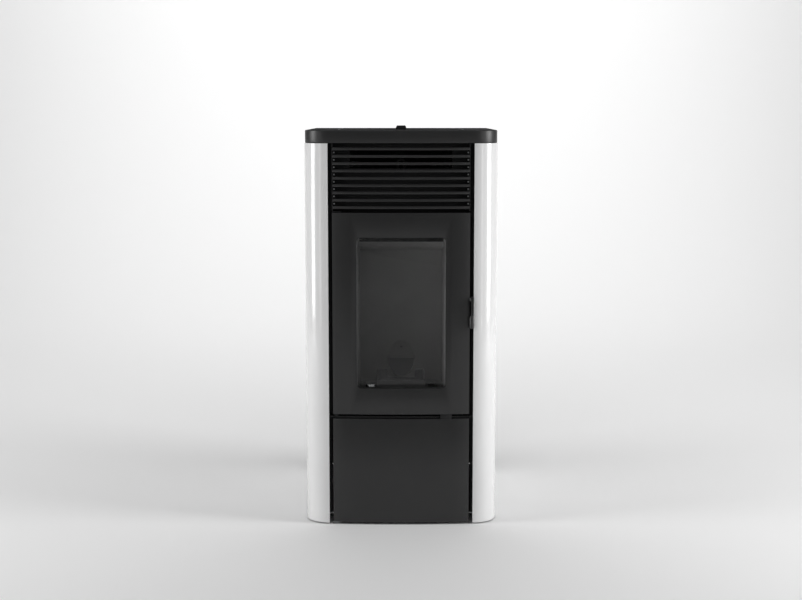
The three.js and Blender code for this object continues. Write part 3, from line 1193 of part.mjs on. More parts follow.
function augerMotor() {
  const x1 = AUGER_LEFT - SEAT;
  const x0 = x1 - GEARBOX_L;
  const box0 = across(rectangle(
    AUGER_Y - GEARBOX_W / 2, AUGER_Y + GEARBOX_W / 2, AUGER_Z - GEARBOX_H + GEARBOX_W / 2, AUGER_Z + GEARBOX_W / 2, 6,
  ), x0, x1);
  const can = rodX(AUGER_Y, AUGER_Z - GEARBOX_H + GEARBOX_W / 2 + MOTOR_R, MOTOR_R, x1 - 1, x1 + MOTOR_L, 8);
  const bore = rodX(AUGER_Y, AUGER_Z, AUGER_SHAFT_R - 2 + SEAT, x1 - 20, x1 + 1, 8);
  // The can hangs beside the tube, under its flange.
  const drop = GEARBOX_W / 2 + MOTOR_R + 4;
  const hanger = across(rectangle(
    AUGER_Y - MOTOR_R, AUGER_Y + MOTOR_R, AUGER_Z - drop - MOTOR_R, AUGER_Z, 6), x0, x1);
  const lowCan = rodX(AUGER_Y, AUGER_Z - drop, MOTOR_R - 2, x1 - 1, x1 + MOTOR_L, 8);
  return cut(join(cut(box0, can), hanger, box0, lowCan), bore);
}
part(feed, 'auger_motor', augerMotor(), 'steel');

// ---------------------------------------------------------------- feed chute with its deflector
function feedChute() {
  const t = CHUTE_SHEET;
  const y0 = BOX_Y1 + FIREBOX_WALL + SEAT;
  const backY = THROAT.y1 + 4;
  const topY = THROAT.y0 - 4;
  const mouthTop = CHUTE_MOUTH_Z0 + FEED_H + 6;
  const outer = across(outline([
    [y0, CHUTE_MOUTH_Z0], [backY, CHUTE_SLOPE_Z], [backY, CHUTE_TOP_Z], [topY, CHUTE_TOP_Z], [y0, mouthTop],
  ]), -CHUTE_X - t, CHUTE_X + t);
  const inner = across(outline([
    [y0 - 1, CHUTE_MOUTH_Z0 + t], [y0, CHUTE_MOUTH_Z0 + t + 1], [backY - t, CHUTE_SLOPE_Z],
    [backY - t, CHUTE_TOP_Z + 1], [topY + t, CHUTE_TOP_Z + 1], [topY + t, CHUTE_TOP_Z - 2],
    [y0, mouthTop - t], [y0 - 1, mouthTop - t],
  ]), -CHUTE_X, CHUTE_X);
  // Sloping plate across the upper half of the mouth. Pellets drop behind and under it.
  const plate = cut(across(outline([
    [y0 + 1, DEFLECTOR_Z], [y0 + 3, DEFLECTOR_Z], [y0 + 12, mouthTop + 1], [y0 + 10, mouthTop + 1],
  ]), -CHUTE_X - 1, CHUTE_X + 1), rodY(0, DEFLECTOR_Z + 29, 3, y0 - 1, y0 + 20, 4));
  const shell = cut(outer, inner);
  return join(shell, plate.intersect(outer));
}
part(feed, 'feed_chute', feedChute(), 'iron');

// ---------------------------------------------------------------- fans
// Scroll outline around a wheel, opening into an outlet that runs along +a.
function scroll(a, b, wheelR, inset) {
  const points = scrollPoints(wheelR, inset).map(([da, db]) => [a + da, b + db]);
  const r0 = wheelR + VOLUTE_GAP;
  const reach = a + OUTLET_REACH + (inset > 0 ? 1 : 0);
  const top = b + r0 + VOLUTE_GROWTH - inset;
  const bottom = b + r0 * Math.sin(THREE.MathUtils.degToRad(VOLUTE_TONGUE)) + inset;
  return outline([...points, [reach, top], [reach, bottom]].reverse());
}

// Volute casing with its outlet to the rear: an inlet on one side, a shaft hole on the other.
function fanHousing(fan, width, wheelR, inletR, inletSides) {
  const x0 = fan.x - width / 2;
  const x1 = fan.x + width / 2;
  const outer = across(scroll(fan.y, fan.z, wheelR, 0), x0, x1);
  const inner = across(scroll(fan.y, fan.z, wheelR, VOLUTE_WALL), x0 + VOLUTE_WALL, x1 - VOLUTE_WALL);
  const holes = [-1, 1].map((side) => {
    const r = inletSides.includes(side) ? inletR : FAN_SHAFT_R + 4;
    const edge = side < 0 ? x0 : x1;
    return rodX(fan.y, fan.z, r, edge - VOLUTE_WALL - 1, edge + VOLUTE_WALL + 1, 8);
  });
  return cut(outer, inner, ...holes);
}

// Motor with a flange towards its fan and a bore for the shaft.
function fanMotor(fan, faceX, side, radius, length) {
  const ends = [faceX, faceX + side * length].sort((a, b) => a - b);
  const flange = [faceX, faceX + side * 3].sort((a, b) => a - b);
  const bore = [faceX - side, faceX + side * 14].sort((a, b) => a - b);
  const body = rodX(fan.y, fan.z, radius, ...ends, 10);
  const plate = rodX(fan.y, fan.z, radius + 5, ...flange, 10);
  return cut(join(body, plate), rodX(fan.y, fan.z, FAN_SHAFT_R + SEAT, ...bore, 8));
}

// Blade profile in the plane of a wheel, turned to its place in the row.
function bladeShape(fan, points, angle) {
  return outline(points.map(([r, side]) => [
    fan.y + r * Math.cos(angle) - side * Math.sin(angle),
    fan.z + r * Math.sin(angle) + side * Math.cos(angle),
  ]));
}

// Paddle wheel of the smoke fan: a disc with bent blades and a hub.
function smokeWheel() {
  const { x, y, z } = SMOKE_FAN;
  const half = SMOKE_FAN_W / 2 - VOLUTE_WALL - 5;
  const plate = rodX(y, z, SMOKE_WHEEL_R, x - half, x - half + 2, 12);
  const hub = rodX(y, z, 12, x - half, x + half - 8);
  const shaft = rodX(y, z, FAN_SHAFT_R, x - SMOKE_FAN_W / 2 - SEAT - 12, x - half + 1);
  const blades = [];
  for (let i = 0; i < SMOKE_BLADES; i += 1) {
    const profile = [[10, -1], [34, -1], [SMOKE_WHEEL_R - 1, -9], [SMOKE_WHEEL_R - 1, -6.6], [34, 1], [10, 1]];
    const shape = bladeShape(SMOKE_FAN, profile, (2 * Math.PI * i) / SMOKE_BLADES);
    blades.push(across(shape, x - half + 1, x + half));
  }
  return join(plate, hub, shaft, ...blades);
}

// Drum wheel of the room blower: curved blades between two rings, on a middle disc.
function drumWheel() {
  const { x, y, z } = BLOWER;
  const half = BLOWER_W / 2 - VOLUTE_WALL - 4;
  const rimIn = BLOWER_WHEEL_R - 11;
  const rings = [x - half, x + half - 3].map((x0) => cut(
    rodX(y, z, BLOWER_WHEEL_R, x0, x0 + 3, 12), rodX(y, z, rimIn, x0 - 1, x0 + 4, 12)));
  const plate = rodX(y, z, BLOWER_WHEEL_R - 1, x - 1.5, x + 1.5, 12);
  const hub = rodX(y, z, 11, x - 14, x + 14);
  const shaft = rodX(y, z, FAN_SHAFT_R, x - BLOWER_W / 2 - SEAT - 12, x);
  const blades = [];
  for (let i = 0; i < BLOWER_BLADES; i += 1) {
    const profile = [[rimIn + 1, -2], [rimIn + 6, 0], [BLOWER_WHEEL_R - 1, -3], [BLOWER_WHEEL_R - 1, -1],
      [rimIn + 6, 2], [rimIn + 1, 0]];
    const shape = bladeShape(BLOWER, profile, (2 * Math.PI * i) / BLOWER_BLADES);
    blades.push(across(shape, x - half + 1, x + half - 1));
  }
  return join(...rings, plate, hub, shaft, ...blades);
}

const SMOKE_X0 = SMOKE_FAN.x - SMOKE_FAN_W / 2;
const SMOKE_X1 = SMOKE_FAN.x + SMOKE_FAN_W / 2;
const BLOWER_X0 = BLOWER.x - BLOWER_W / 2;
part(fans, 'smoke_fan_housing', fanHousing(SMOKE_FAN, SMOKE_FAN_W, SMOKE_WHEEL_R, SMOKE_INLET_R, [1]), 'zinc');
part(fans, 'smoke_fan_wheel', smokeWheel(), 'steel');
part(fans, 'smoke_fan_motor', fanMotor(SMOKE_FAN, SMOKE_X0 - SEAT, -1, SMOKE_MOTOR_R, SMOKE_MOTOR_L), 'steel');
part(fans, 'blower_housing', fanHousing(BLOWER, BLOWER_W, BLOWER_WHEEL_R, BLOWER_INLET_R, [1]), 'zinc');
part(fans, 'blower_wheel', drumWheel(), 'steel');
part(fans, 'blower_motor', fanMotor(BLOWER, BLOWER_X0 - SEAT, -1, BLOWER_MOTOR_R, BLOWER_MOTOR_L), 'steel');

// ---------------------------------------------------------------- flue stub, smoke duct and air tube
function flueStub() {
  const y0 = SMOKE_FAN.y + OUTLET_REACH + SEAT;
  const flange = box(SMOKE_X0, SMOKE_X1, y0, y0 + 3, FLUE_Z - FLUE_R - 4, FLUE_Z + FLUE_R + 4);
  const tube = rodY(SMOKE_FAN.x, FLUE_Z, FLUE_R, y0, FLUE_END_Y, 14);
  const bore = rodY(SMOKE_FAN.x, FLUE_Z, FLUE_R - FLUE_WALL, y0 + 2, FLUE_END_Y + 1, 14);
  const inlet = box(SMOKE_X0 + 4, SMOKE_X1 - 4, y0 - 1, y0 + 4, FLUE_Z - 24, FLUE_Z + 24);
  return cut(join(flange, tube), bore, inlet);
}
part(fans, 'flue_stub', flueStub(), 'black');

// Duct from the firebox's side wall down to the inlet of the smoke fan.
function smokeDuct() {
  const t = DUCT_SHEET;
  const x0 = Math.max(BOX_X + FIREBOX_WALL, SMOKE_X1) + SEAT;
  const x1 = x0 + DUCT_W;
  const backY = SMOKE_Y1 + 4;
  const frontY = backY - DUCT_D - t;
  const topZ = SMOKE_Z1 + 4;
  const kneeZ = SMOKE_FAN.z + SMOKE_INLET_R + 12;
  const footZ = SMOKE_FAN.z - SMOKE_INLET_R - 6;
  const farY = SMOKE_FAN.y + SMOKE_INLET_R + 6;
  const ring = (by) => outline([
    [frontY + by, footZ + by], [farY - by, footZ + by], [farY - by, kneeZ - by],
    [backY - by, kneeZ - by], [backY - by, topZ - by], [frontY + by, topZ - by],
  ]);
  const body = cut(across(ring(0), x0, x1), across(ring(t), x0 + t, x1 - t));
  const smokeIn = box(x0 - 1, x0 + t + 1, SMOKE_Y1 - SMOKE_HOLE_D, SMOKE_Y1, SMOKE_Z1 - SMOKE_HOLE_H, SMOKE_Z1);
  return cut(body, smokeIn, rodX(SMOKE_FAN.y, SMOKE_FAN.z, SMOKE_INLET_R, x0 - 1, x0 + t + 1));
}
part(fans, 'smoke_duct', smokeDuct(), 'zinc');

function airInlet() {
  const y0 = BOX_Y1 + FIREBOX_WALL + SEAT;
  const y1 = REAR_Y + AIR_TUBE_OUT;
  const tube = rodY(AIR_TUBE_X, AIR_TUBE_Z, AIR_TUBE_R, y0, y1, 10);
  const collar = rodY(AIR_TUBE_X, AIR_TUBE_Z, AIR_TUBE_R + 5, y0, y0 + 3, 10);
  return cut(join(tube, collar), rodY(AIR_TUBE_X, AIR_TUBE_Z, AIR_TUBE_R - FLUE_WALL, y0 - 1, y1 + 1, 10));
}
part(fans, 'air_inlet', airInlet(), 'zinc');

// ---------------------------------------------------------------- electrics
function controlBoard() {
  const x1 = POST_X1 - POST_SHEET - SEAT;
  const x0 = x1 - BOARD_T;
  const y0 = POST_Y + POST_SHEET + 4;
  const plate = box(x0, x1, y0, y0 + BOARD_L, BOARD_Z, BOARD_Z + BOARD_H);
  const blocks = [
    [20, 34, 20, 30, 18], [60, 34, 24, 24, 22], [20, 90, 30, 40, 14], [70, 84, 32, 46, 9],
  ].map(([dy, dz, w, h, t]) => box(x0 - t, x0 + 1, y0 + dy, y0 + dy + w, BOARD_Z + dz, BOARD_Z + dz + h));
  const strip = box(x0 - 12, x0 + 1, y0 + 14, y0 + BOARD_L - 14, BOARD_Z + 8, BOARD_Z + 22);
  return join(plate, strip, ...blocks);
}
part(fans, 'control_board', controlBoard(), 'board');

// Mains inlet with its socket below and the rocker's window above.
const ROCKER_Z = SOCKET_Z1 - SOCKET_FLANGE - ROCKER_H / 2 - 3;
function powerInlet() {
  const x = SOCKET_X;
  const rim = SOCKET_FLANGE;
  const half = SOCKET_W / 2;
  const y0 = REAR_Y + SEAT;
  const flange = inward(rectangle(x - half, x + half, SOCKET_Z, SOCKET_Z1, 3), y0, y0 + SOCKET_FLANGE);
  const body = box(x - half + rim, x + half - rim, REAR_Y - 26, y0 + 1, SOCKET_Z + rim, SOCKET_Z1 - rim);
  const cavityZ = SOCKET_Z + rim + 3;
  const cavity = inward(outline([
    [x - half + 5, cavityZ], [x + half - 5, cavityZ], [x + half - 5, cavityZ + SOCKET_CAVITY_H - 5],
    [x + half - 9, cavityZ + SOCKET_CAVITY_H], [x - half + 9, cavityZ + SOCKET_CAVITY_H],
    [x - half + 5, cavityZ + SOCKET_CAVITY_H - 5],
  ]), y0 - 17, y0 + SOCKET_FLANGE + 1);
  const window = box(
    x - ROCKER_W / 2 - RUN, x + ROCKER_W / 2 + RUN, y0 - 13, y0 + SOCKET_FLANGE + 1,
    ROCKER_Z - ROCKER_H / 2 - RUN, ROCKER_Z + ROCKER_H / 2 + RUN);
  const pins = [-7, 0, 7].map((dx) => box(
    x + dx - 1, x + dx + 1, y0 - 18, y0 - 3, cavityZ + (dx === 0 ? 10 : 6), cavityZ + (dx === 0 ? 15 : 11)));
  return join(cut(join(flange, body), cavity, window), ...pins);
}
part(fans, 'power_inlet', powerInlet(), 'plastic');

// Rocker with two faces at a shallow angle, tilted to its off side.
function rocker() {
  const r = ROCKER_H / 2 - 1;
  const shape = new THREE.Shape();
  const lift = r * Math.sin(THREE.MathUtils.degToRad(ROCKER_TILT));
  shape.moveTo(-7, -r + 3);
  shape.lineTo(0, -r);
  shape.lineTo(3 + lift, -r);
  shape.lineTo(3, 0);
  shape.lineTo(3 + lift, r);
  shape.lineTo(0, r);
  shape.lineTo(-7, r - 3);
  return across(shape, -ROCKER_W / 2, ROCKER_W / 2);
}
const rockerMesh = part(fans, 'rocker_switch', rocker(), 'plastic', [SOCKET_X, REAR_Y, ROCKER_Z]);
rockerMesh.rotation.x = THREE.MathUtils.degToRad(ROCKER_TILT);

export default stove;
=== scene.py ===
"""The looks of a free-standing pellet stove: camera, studio, finishes and small trim."""
import json
import math

import bpy
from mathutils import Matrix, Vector

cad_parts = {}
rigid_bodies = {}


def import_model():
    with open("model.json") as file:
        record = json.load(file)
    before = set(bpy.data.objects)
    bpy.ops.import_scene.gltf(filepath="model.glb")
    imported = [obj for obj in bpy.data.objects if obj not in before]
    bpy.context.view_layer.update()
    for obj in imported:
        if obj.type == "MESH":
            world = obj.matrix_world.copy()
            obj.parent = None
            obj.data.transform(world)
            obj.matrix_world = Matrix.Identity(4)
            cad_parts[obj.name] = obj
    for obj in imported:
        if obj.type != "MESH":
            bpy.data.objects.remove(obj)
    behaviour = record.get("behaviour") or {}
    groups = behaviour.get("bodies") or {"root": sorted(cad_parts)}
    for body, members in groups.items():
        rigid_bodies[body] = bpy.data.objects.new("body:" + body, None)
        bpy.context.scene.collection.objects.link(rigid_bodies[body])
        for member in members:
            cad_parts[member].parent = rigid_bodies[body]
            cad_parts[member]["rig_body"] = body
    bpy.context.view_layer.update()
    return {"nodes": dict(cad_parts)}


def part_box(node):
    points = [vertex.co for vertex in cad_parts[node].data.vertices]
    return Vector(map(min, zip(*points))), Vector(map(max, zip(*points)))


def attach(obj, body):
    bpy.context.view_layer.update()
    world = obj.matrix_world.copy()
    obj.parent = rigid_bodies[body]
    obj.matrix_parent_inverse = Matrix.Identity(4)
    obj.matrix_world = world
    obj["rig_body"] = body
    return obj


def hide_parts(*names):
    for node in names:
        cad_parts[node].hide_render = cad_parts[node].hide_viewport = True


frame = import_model()
nodes = frame["nodes"]

# ---------------------------------------------------------------- camera
# A long-lens view from straight ahead at the height of the stove's top, tipped down a little.
# The stove stands left of the frame's middle by a hair and fills about two thirds of its height.
bpy.ops.object.camera_add(
    location=(0, -3.25, 0.9863), rotation=(math.radians(90 - 6.54), 0, 0)
)
camera = bpy.context.object
camera.data.lens = 57.74
camera.data.shift_x = -0.0001
camera.data.shift_y = -0.05
bpy.context.scene.camera = camera


# ---------------------------------------------------------------- studio
# A pale paper sweep on the floor that curves up behind the stove, two tall softboxes at its
# sides, two narrow strips in front of its corners, a broad softbox overhead, and a long wash
# for the sweep.
def linear(hex_code):
    """An sRGB hex colour as the linear RGBA that shaders take."""
    channels = [int(hex_code[i : i + 2], 16) / 255 for i in (1, 3, 5)]
    return [c / 12.92 if c <= 0.04045 else ((c + 0.055) / 1.055) ** 2.4 for c in channels] + [1]


def add(material, kind, settings=None, links=None):
    """Adds one node, sets its sockets and properties by name, and links its inputs to sockets."""
    node = material.node_tree.nodes.new(kind)
    for name, value in (settings or {}).items():
        if name in node.inputs:
            node.inputs[name].default_value = value
        else:
            setattr(node, name, value)
    for name, socket in (links or {}).items():
        material.node_tree.links.new(socket, node.inputs[name])
    return node


def blank(name):
    """A new material with an empty node tree, and its object coordinates."""
    material = bpy.data.materials.new(name)
    material.use_nodes = True
    material.node_tree.nodes.clear()
    return material, add(material, "ShaderNodeTexCoord").outputs["Object"]


def close(material, surface):
    """Ends a material's tree at its output."""
    add(material, "ShaderNodeOutputMaterial", links={"Surface": surface.outputs[0]})


def only(obj):
    """Leaves one object selected and active."""
    bpy.ops.object.select_all(action="DESELECT")
    obj.select_set(True)
    bpy.context.view_layer.objects.active = obj


bpy.ops.object.select_all(action="DESELECT")
bpy.ops.mesh.primitive_plane_add(size=10, location=(0, -0.5, 0))
sweep = bpy.context.object
sweep.name = "paper_sweep"
bpy.ops.object.transform_apply(location=True, rotation=True, scale=True)
bpy.ops.object.mode_set(mode="EDIT")
bpy.ops.mesh.select_all(action="DESELECT")
bpy.ops.object.mode_set(mode="OBJECT")
for edge in sweep.data.edges:
    edge.select = all(sweep.data.vertices[v].co.y > 4 for v in edge.vertices)
bpy.ops.object.mode_set(mode="EDIT")
bpy.ops.mesh.select_mode(type="EDGE")
bpy.ops.mesh.extrude_region_move(TRANSFORM_OT_translate={"value": (0, 0, 6)})
bpy.ops.object.mode_set(mode="OBJECT")
for edge in sweep.data.edges:
    ends = [sweep.data.vertices[v].co for v in edge.vertices]
    edge.select = all(c.y > 4 and c.z < 0.1 for c in ends)
bpy.ops.object.mode_set(mode="EDIT")
bpy.ops.mesh.bevel(offset=2.5, segments=24, affect="EDGES")
bpy.ops.object.mode_set(mode="OBJECT")
bpy.ops.object.shade_smooth()

paper, paper_place = blank("pale_studio_paper")
paper_fibre = add(paper, "ShaderNodeTexNoise", {"Scale": 400, "Detail": 3}, {"Vector": paper_place})
paper_relief = add(
    paper, "ShaderNodeBump", {"Strength": 0.05, "Distance": 0.0005}, {"Height": paper_fibre.outputs[0]}
)
close(
    paper,
    add(
        paper,
        "ShaderNodeBsdfPrincipled",
        {"Base Color": linear("#F0F0F0"), "Roughness": 0.8},
        {"Normal": paper_relief.outputs[0]},
    ),
)
sweep.data.materials.append(paper)

for side in (-1, 1):
    bpy.ops.object.light_add(type="AREA", location=(side * 2.75, -0.7, 1.2))
    softbox = bpy.context.object
    softbox.name = "softbox_left" if side < 0 else "softbox_right"
    softbox.data.shape = "RECTANGLE"
    softbox.data.size = 0.9
    softbox.data.size_y = 2.2
    softbox.data.energy = 44 if side < 0 else 60
    aim = Vector((0, 0, 0.5)) - softbox.location
    softbox.rotation_euler = aim.to_track_quat("-Z", "Y").to_euler()
# A narrow strip at each front corner draws the bright line down the rolled panels.
for side in (-1, 1):
    bpy.ops.object.light_add(type="AREA", location=(side * 2.1, -2.4, 0.9))
    strip = bpy.context.object
    strip.name = "strip_left" if side < 0 else "strip_right"
    strip.data.shape = "RECTANGLE"
    strip.data.size = 0.13
    strip.data.size_y = 2.4
    strip.data.energy = 5.5
    aim = Vector((0, 0, 0.6)) - strip.location
    strip.rotation_euler = aim.to_track_quat("-Z", "Y").to_euler()

bpy.ops.object.light_add(type="AREA", location=(0, -0.3, 3.2))
overhead = bpy.context.object
overhead.name = "softbox_overhead"
overhead.data.shape = "RECTANGLE"
overhead.data.size = 3.5
overhead.data.size_y = 3.5
overhead.data.energy = 21

bpy.ops.object.light_add(type="AREA", location=(0, 1.6, 3.6))
wash = bpy.context.object
wash.name = "backdrop_wash"
wash.data.shape = "RECTANGLE"
wash.data.size = 5.0
wash.data.size_y = 0.8
wash.data.energy = 130
wash.rotation_euler = (Vector((0, 4.5, 2.2)) - wash.location).to_track_quat("-Z", "Y").to_euler()

room = bpy.data.worlds.new("white_room")
room.use_nodes = True
room.node_tree.nodes["Background"].inputs["Color"].default_value = (0.94, 0.94, 0.94, 1)
room.node_tree.nodes["Background"].inputs["Strength"].default_value = 0.1
bpy.context.scene.world = room
bpy.context.scene.view_settings.view_transform = "Standard"


# ---------------------------------------------------------------- side panels
# Two sheet steel panels rolled round the front corners, stove-enamelled in gloss white.
# The enamel flows out nearly flat, with a faint orange peel of a few millimetres.
def dressed(node, name, finish, ease=0.0, turn=35):
    """A smooth copy of a solid: triangles merged, flat faces joined, edges eased by so many mm."""
    solid = nodes[node]
    piece = bpy.data.objects.new(name, solid.data.copy())
    bpy.context.scene.collection.objects.link(piece)
    only(piece)
    bpy.ops.object.mode_set(mode="EDIT")
    bpy.ops.mesh.customdata_custom_splitnormals_clear()
    bpy.ops.mesh.select_all(action="SELECT")
    bpy.ops.mesh.remove_doubles(threshold=2e-6)
    bpy.ops.mesh.dissolve_limited(angle_limit=math.radians(0.5))
    bpy.ops.object.mode_set(mode="OBJECT")
    if ease:
        bevel = piece.modifiers.new("eased_edges", "BEVEL")
        bevel.width = ease / 1000
        bevel.segments = 2
        bevel.limit_method = "ANGLE"
        bevel.angle_limit = math.radians(40)
        bevel.use_clamp_overlap = True
        bpy.ops.object.modifier_apply(modifier=bevel.name)
    bpy.ops.object.shade_smooth_by_angle(angle=math.radians(turn))
    piece.data.materials.clear()
    piece.data.materials.append(finish)
    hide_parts(node)
    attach(piece, solid["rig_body"])
    return piece


enamel, enamel_place = blank("gloss_white_enamel")
enamel_flow = add(enamel, "ShaderNodeTexNoise", {"Scale": 1000 / 6, "Detail": 1}, {"Vector": enamel_place})
enamel_peel = add(
    enamel, "ShaderNodeBump", {"Strength": 0.06, "Distance": 0.0002}, {"Height": enamel_flow.outputs[0]}
)
enamel_cloud = add(
    enamel, "ShaderNodeTexNoise", {"Scale": 1000 / 180, "Detail": 3}, {"Vector": enamel_place}
)
enamel_white = add(
    enamel,
    "ShaderNodeMixRGB",
    {"Color1": linear("#EFEFEF"), "Color2": linear("#EBEBEB")},
    {"Fac": enamel_cloud.outputs[0]},
)
close(
    enamel,
    add(
        enamel,
        "ShaderNodeBsdfPrincipled",
        {"Roughness": 0.16, "IOR": 1.52, "Coat Weight": 0.5, "Coat Roughness": 0.06},
        {"Base Color": enamel_white.outputs[0], "Normal": enamel_peel.outputs[0]},
    ),
)
dressed("side_panel_left", "left_panel", enamel, ease=0.4, turn=30)
dressed("side_panel_right", "right_panel", enamel, ease=0.4, turn=30)


# ---------------------------------------------------------------- top slab and hopper lid
# Pressed sheet steel under satin anthracite heat-proof paint, sprayed dry enough to leave a
# fine even grain that breaks up highlights.
anthracite, anthracite_place = blank("satin_anthracite_paint")
anthracite_grain = add(
    anthracite, "ShaderNodeTexNoise", {"Scale": 1000 / 0.9, "Detail": 2}, {"Vector": anthracite_place}
)
anthracite_relief = add(
    anthracite,
    "ShaderNodeBump",
    {"Strength": 0.18, "Distance": 0.00012},
    {"Height": anthracite_grain.outputs[0]},
)
anthracite_drift = add(
    anthracite, "ShaderNodeTexNoise", {"Scale": 1000 / 70, "Detail": 4}, {"Vector": anthracite_place}
)
anthracite_tone = add(
    anthracite,
    "ShaderNodeMixRGB",
    {"Color1": linear("#232324"), "Color2": linear("#292929")},
    {"Fac": anthracite_drift.outputs[0]},
)
close(
    anthracite,
    add(
        anthracite,
        "ShaderNodeBsdfPrincipled",
        {"Roughness": 0.38, "IOR": 1.5},
        {"Base Color": anthracite_tone.outputs[0], "Normal": anthracite_relief.outputs[0]},
    ),
)
top_plate = dressed("top_slab", "top_plate", anthracite, ease=0.5)

# The slab's upper face gets a darker, coarser-grained copy of the paint, which mirrors next to
# nothing: painted shade on its top face.
top_shade_coat, top_coat_place = blank("top_face_painted_shade")
top_coat_grit = add(
    top_shade_coat, "ShaderNodeTexNoise", {"Scale": 1000 / 1.1, "Detail": 3}, {"Vector": top_coat_place}
)
top_coat_relief = add(
    top_shade_coat, "ShaderNodeBump", {"Strength": 0.3, "Distance": 0.0002}, {"Height": top_coat_grit.outputs[0]}
)
top_shade_tone = add(
    top_shade_coat,
    "ShaderNodeMixRGB",
    {"Color1": linear("#1F1F20"), "Color2": linear("#272728")},
    {"Fac": top_coat_grit.outputs[0]},
)
close(
    top_shade_coat,
    add(
        top_shade_coat,
        "ShaderNodeBsdfPrincipled",
        {"Roughness": 0.95, "IOR": 1.5, "Specular IOR Level": 0.1},
        {"Base Color": top_shade_tone.outputs[0], "Normal": top_coat_relief.outputs[0]},
    ),
)
top_plate.data.materials.append(top_shade_coat)
# Painted shade: the faces that look straight up take the darker coat.
for polygon in top_plate.data.polygons:
    if polygon.normal.z > 0.9:
        polygon.material_index = 1
# The hopper lid takes the same darker coat all over: painted shade on the lid.
dressed("hopper_lid", "lid_plate", top_shade_coat, ease=0.5)

# The lid's finger grip is moulded in black heat-resisting plastic, spark-eroded to a dull grain.
plastic, plastic_place = blank("grained_black_plastic")
plastic_grain = add(
    plastic, "ShaderNodeTexNoise", {"Scale": 1000 / 0.7, "Detail": 3}, {"Vector": plastic_place}
)
plastic_relief = add(
    plastic, "ShaderNodeBump", {"Strength": 0.3, "Distance": 0.0001}, {"Height": plastic_grain.outputs[0]}
)
plastic_tone = add(
    plastic,
    "ShaderNodeMixRGB",
    {"Color1": linear("#1B1B1C"), "Color2": linear("#222223")},
    {"Fac": plastic_grain.outputs[0]},
)
close(
    plastic,
    add(
        plastic,
        "ShaderNodeBsdfPrincipled",
        {"Roughness": 0.5, "IOR": 1.46},
        {"Base Color": plastic_tone.outputs[0], "Normal": plastic_relief.outputs[0]},
    ),
)
dressed("lid_handle", "lid_grip", plastic, ease=0.6)


# ---------------------------------------------------------------- air grille
# Nine folded louvres of painted sheet, bowed like the doors, over a flat sheet with the
# warm-air opening.
for number in range(1, 10):
    dressed(f"grille_slat_{number}", f"louvre_{number}", anthracite, ease=0.25, turn=25)

# The sheet behind is sprayed dead matt black, so that nothing shows between the louvres.
stove_black, stove_black_place = blank("matt_black_heatproof_paint")
black_grain = add(
    stove_black, "ShaderNodeTexNoise", {"Scale": 1000 / 1.2, "Detail": 3}, {"Vector": stove_black_place}
)
black_relief = add(
    stove_black,
    "ShaderNodeBump",
    {"Strength": 0.25, "Distance": 0.00015},
    {"Height": black_grain.outputs[0]},
)
black_tone = add(
    stove_black,
    "ShaderNodeMixRGB",
    {"Color1": linear("#161617"), "Color2": linear("#1E1E1F")},
    {"Fac": black_grain.outputs[0]},
)
close(
    stove_black,
    add(
        stove_black,
        "ShaderNodeBsdfPrincipled",
        {"Roughness": 0.7, "IOR": 1.45},
        {"Base Color": black_tone.outputs[0], "Normal": black_relief.outputs[0]},
    ),
)


def coat(finish, *names):
    """Gives solids whose own faces are right a new finish."""
    for name in names:
        nodes[name].data.materials.clear()
        nodes[name].data.materials.append(finish)


coat(stove_black, "outlet_frame")

# A painted strip behind the louvres at each end, with one zinc-plated peg standing forward
# into each gap, which keeps the louvres evenly apart.
comb_middle = 0.1575
comb_width = 0.009
comb_thickness = 0.0015
comb_margin = 0.002
peg_inner = 0.156
peg_outer = 0.159
peg_half_height = 0.0016
peg_reach = 0.0135
slat_boxes = [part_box(f"grille_slat_{number}") for number in range(1, 10)]
slat_gaps = [(upper[0].z + lower[1].z) / 2 for upper, lower in zip(slat_boxes, slat_boxes[1:])]
comb_back = slat_boxes[0][1].y + comb_margin
comb_front = comb_back - comb_thickness
comb_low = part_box("outlet_frame")[0].z + comb_margin
comb_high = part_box("outlet_frame")[1].z - comb_margin
combs = []
for side in (-1, 1):
    bpy.ops.object.select_all(action="DESELECT")
    bpy.ops.mesh.primitive_cube_add(
        size=1,
        location=(side * comb_middle, (comb_front + comb_back) / 2, (comb_low + comb_high) / 2),
        scale=(comb_width, comb_thickness, comb_high - comb_low),
    )
    comb = bpy.context.object
    comb.name = "comb_left" if side < 0 else "comb_right"
    bpy.ops.object.transform_apply(location=True, rotation=True, scale=True)
    bpy.ops.object.mode_set(mode="EDIT")
    for gap in slat_gaps:
        for level in (gap - peg_half_height, gap + peg_half_height):
            bpy.ops.mesh.select_all(action="SELECT")
            bpy.ops.mesh.bisect(plane_co=(0, 0, level), plane_no=(0, 0, 1))
    for across in (peg_inner, peg_outer):
        bpy.ops.mesh.select_all(action="SELECT")
        bpy.ops.mesh.bisect(plane_co=(side * across, 0, 0), plane_no=(1, 0, 0))
    bpy.ops.mesh.select_mode(type="FACE")
    bpy.ops.mesh.select_all(action="DESELECT")
    bpy.ops.object.mode_set(mode="OBJECT")
    for polygon in comb.data.polygons:
        middle = polygon.center
        in_gap = any(abs(middle.z - gap) < peg_half_height for gap in slat_gaps)
        in_column = peg_inner < abs(middle.x) < peg_outer
        polygon.select = in_gap and in_column and polygon.normal.y < -0.9
    bpy.ops.object.mode_set(mode="EDIT")
    bpy.ops.mesh.extrude_region_move(TRANSFORM_OT_translate={"value": (0, -peg_reach, 0)})
    bpy.ops.object.mode_set(mode="OBJECT")
    combs.append(comb)

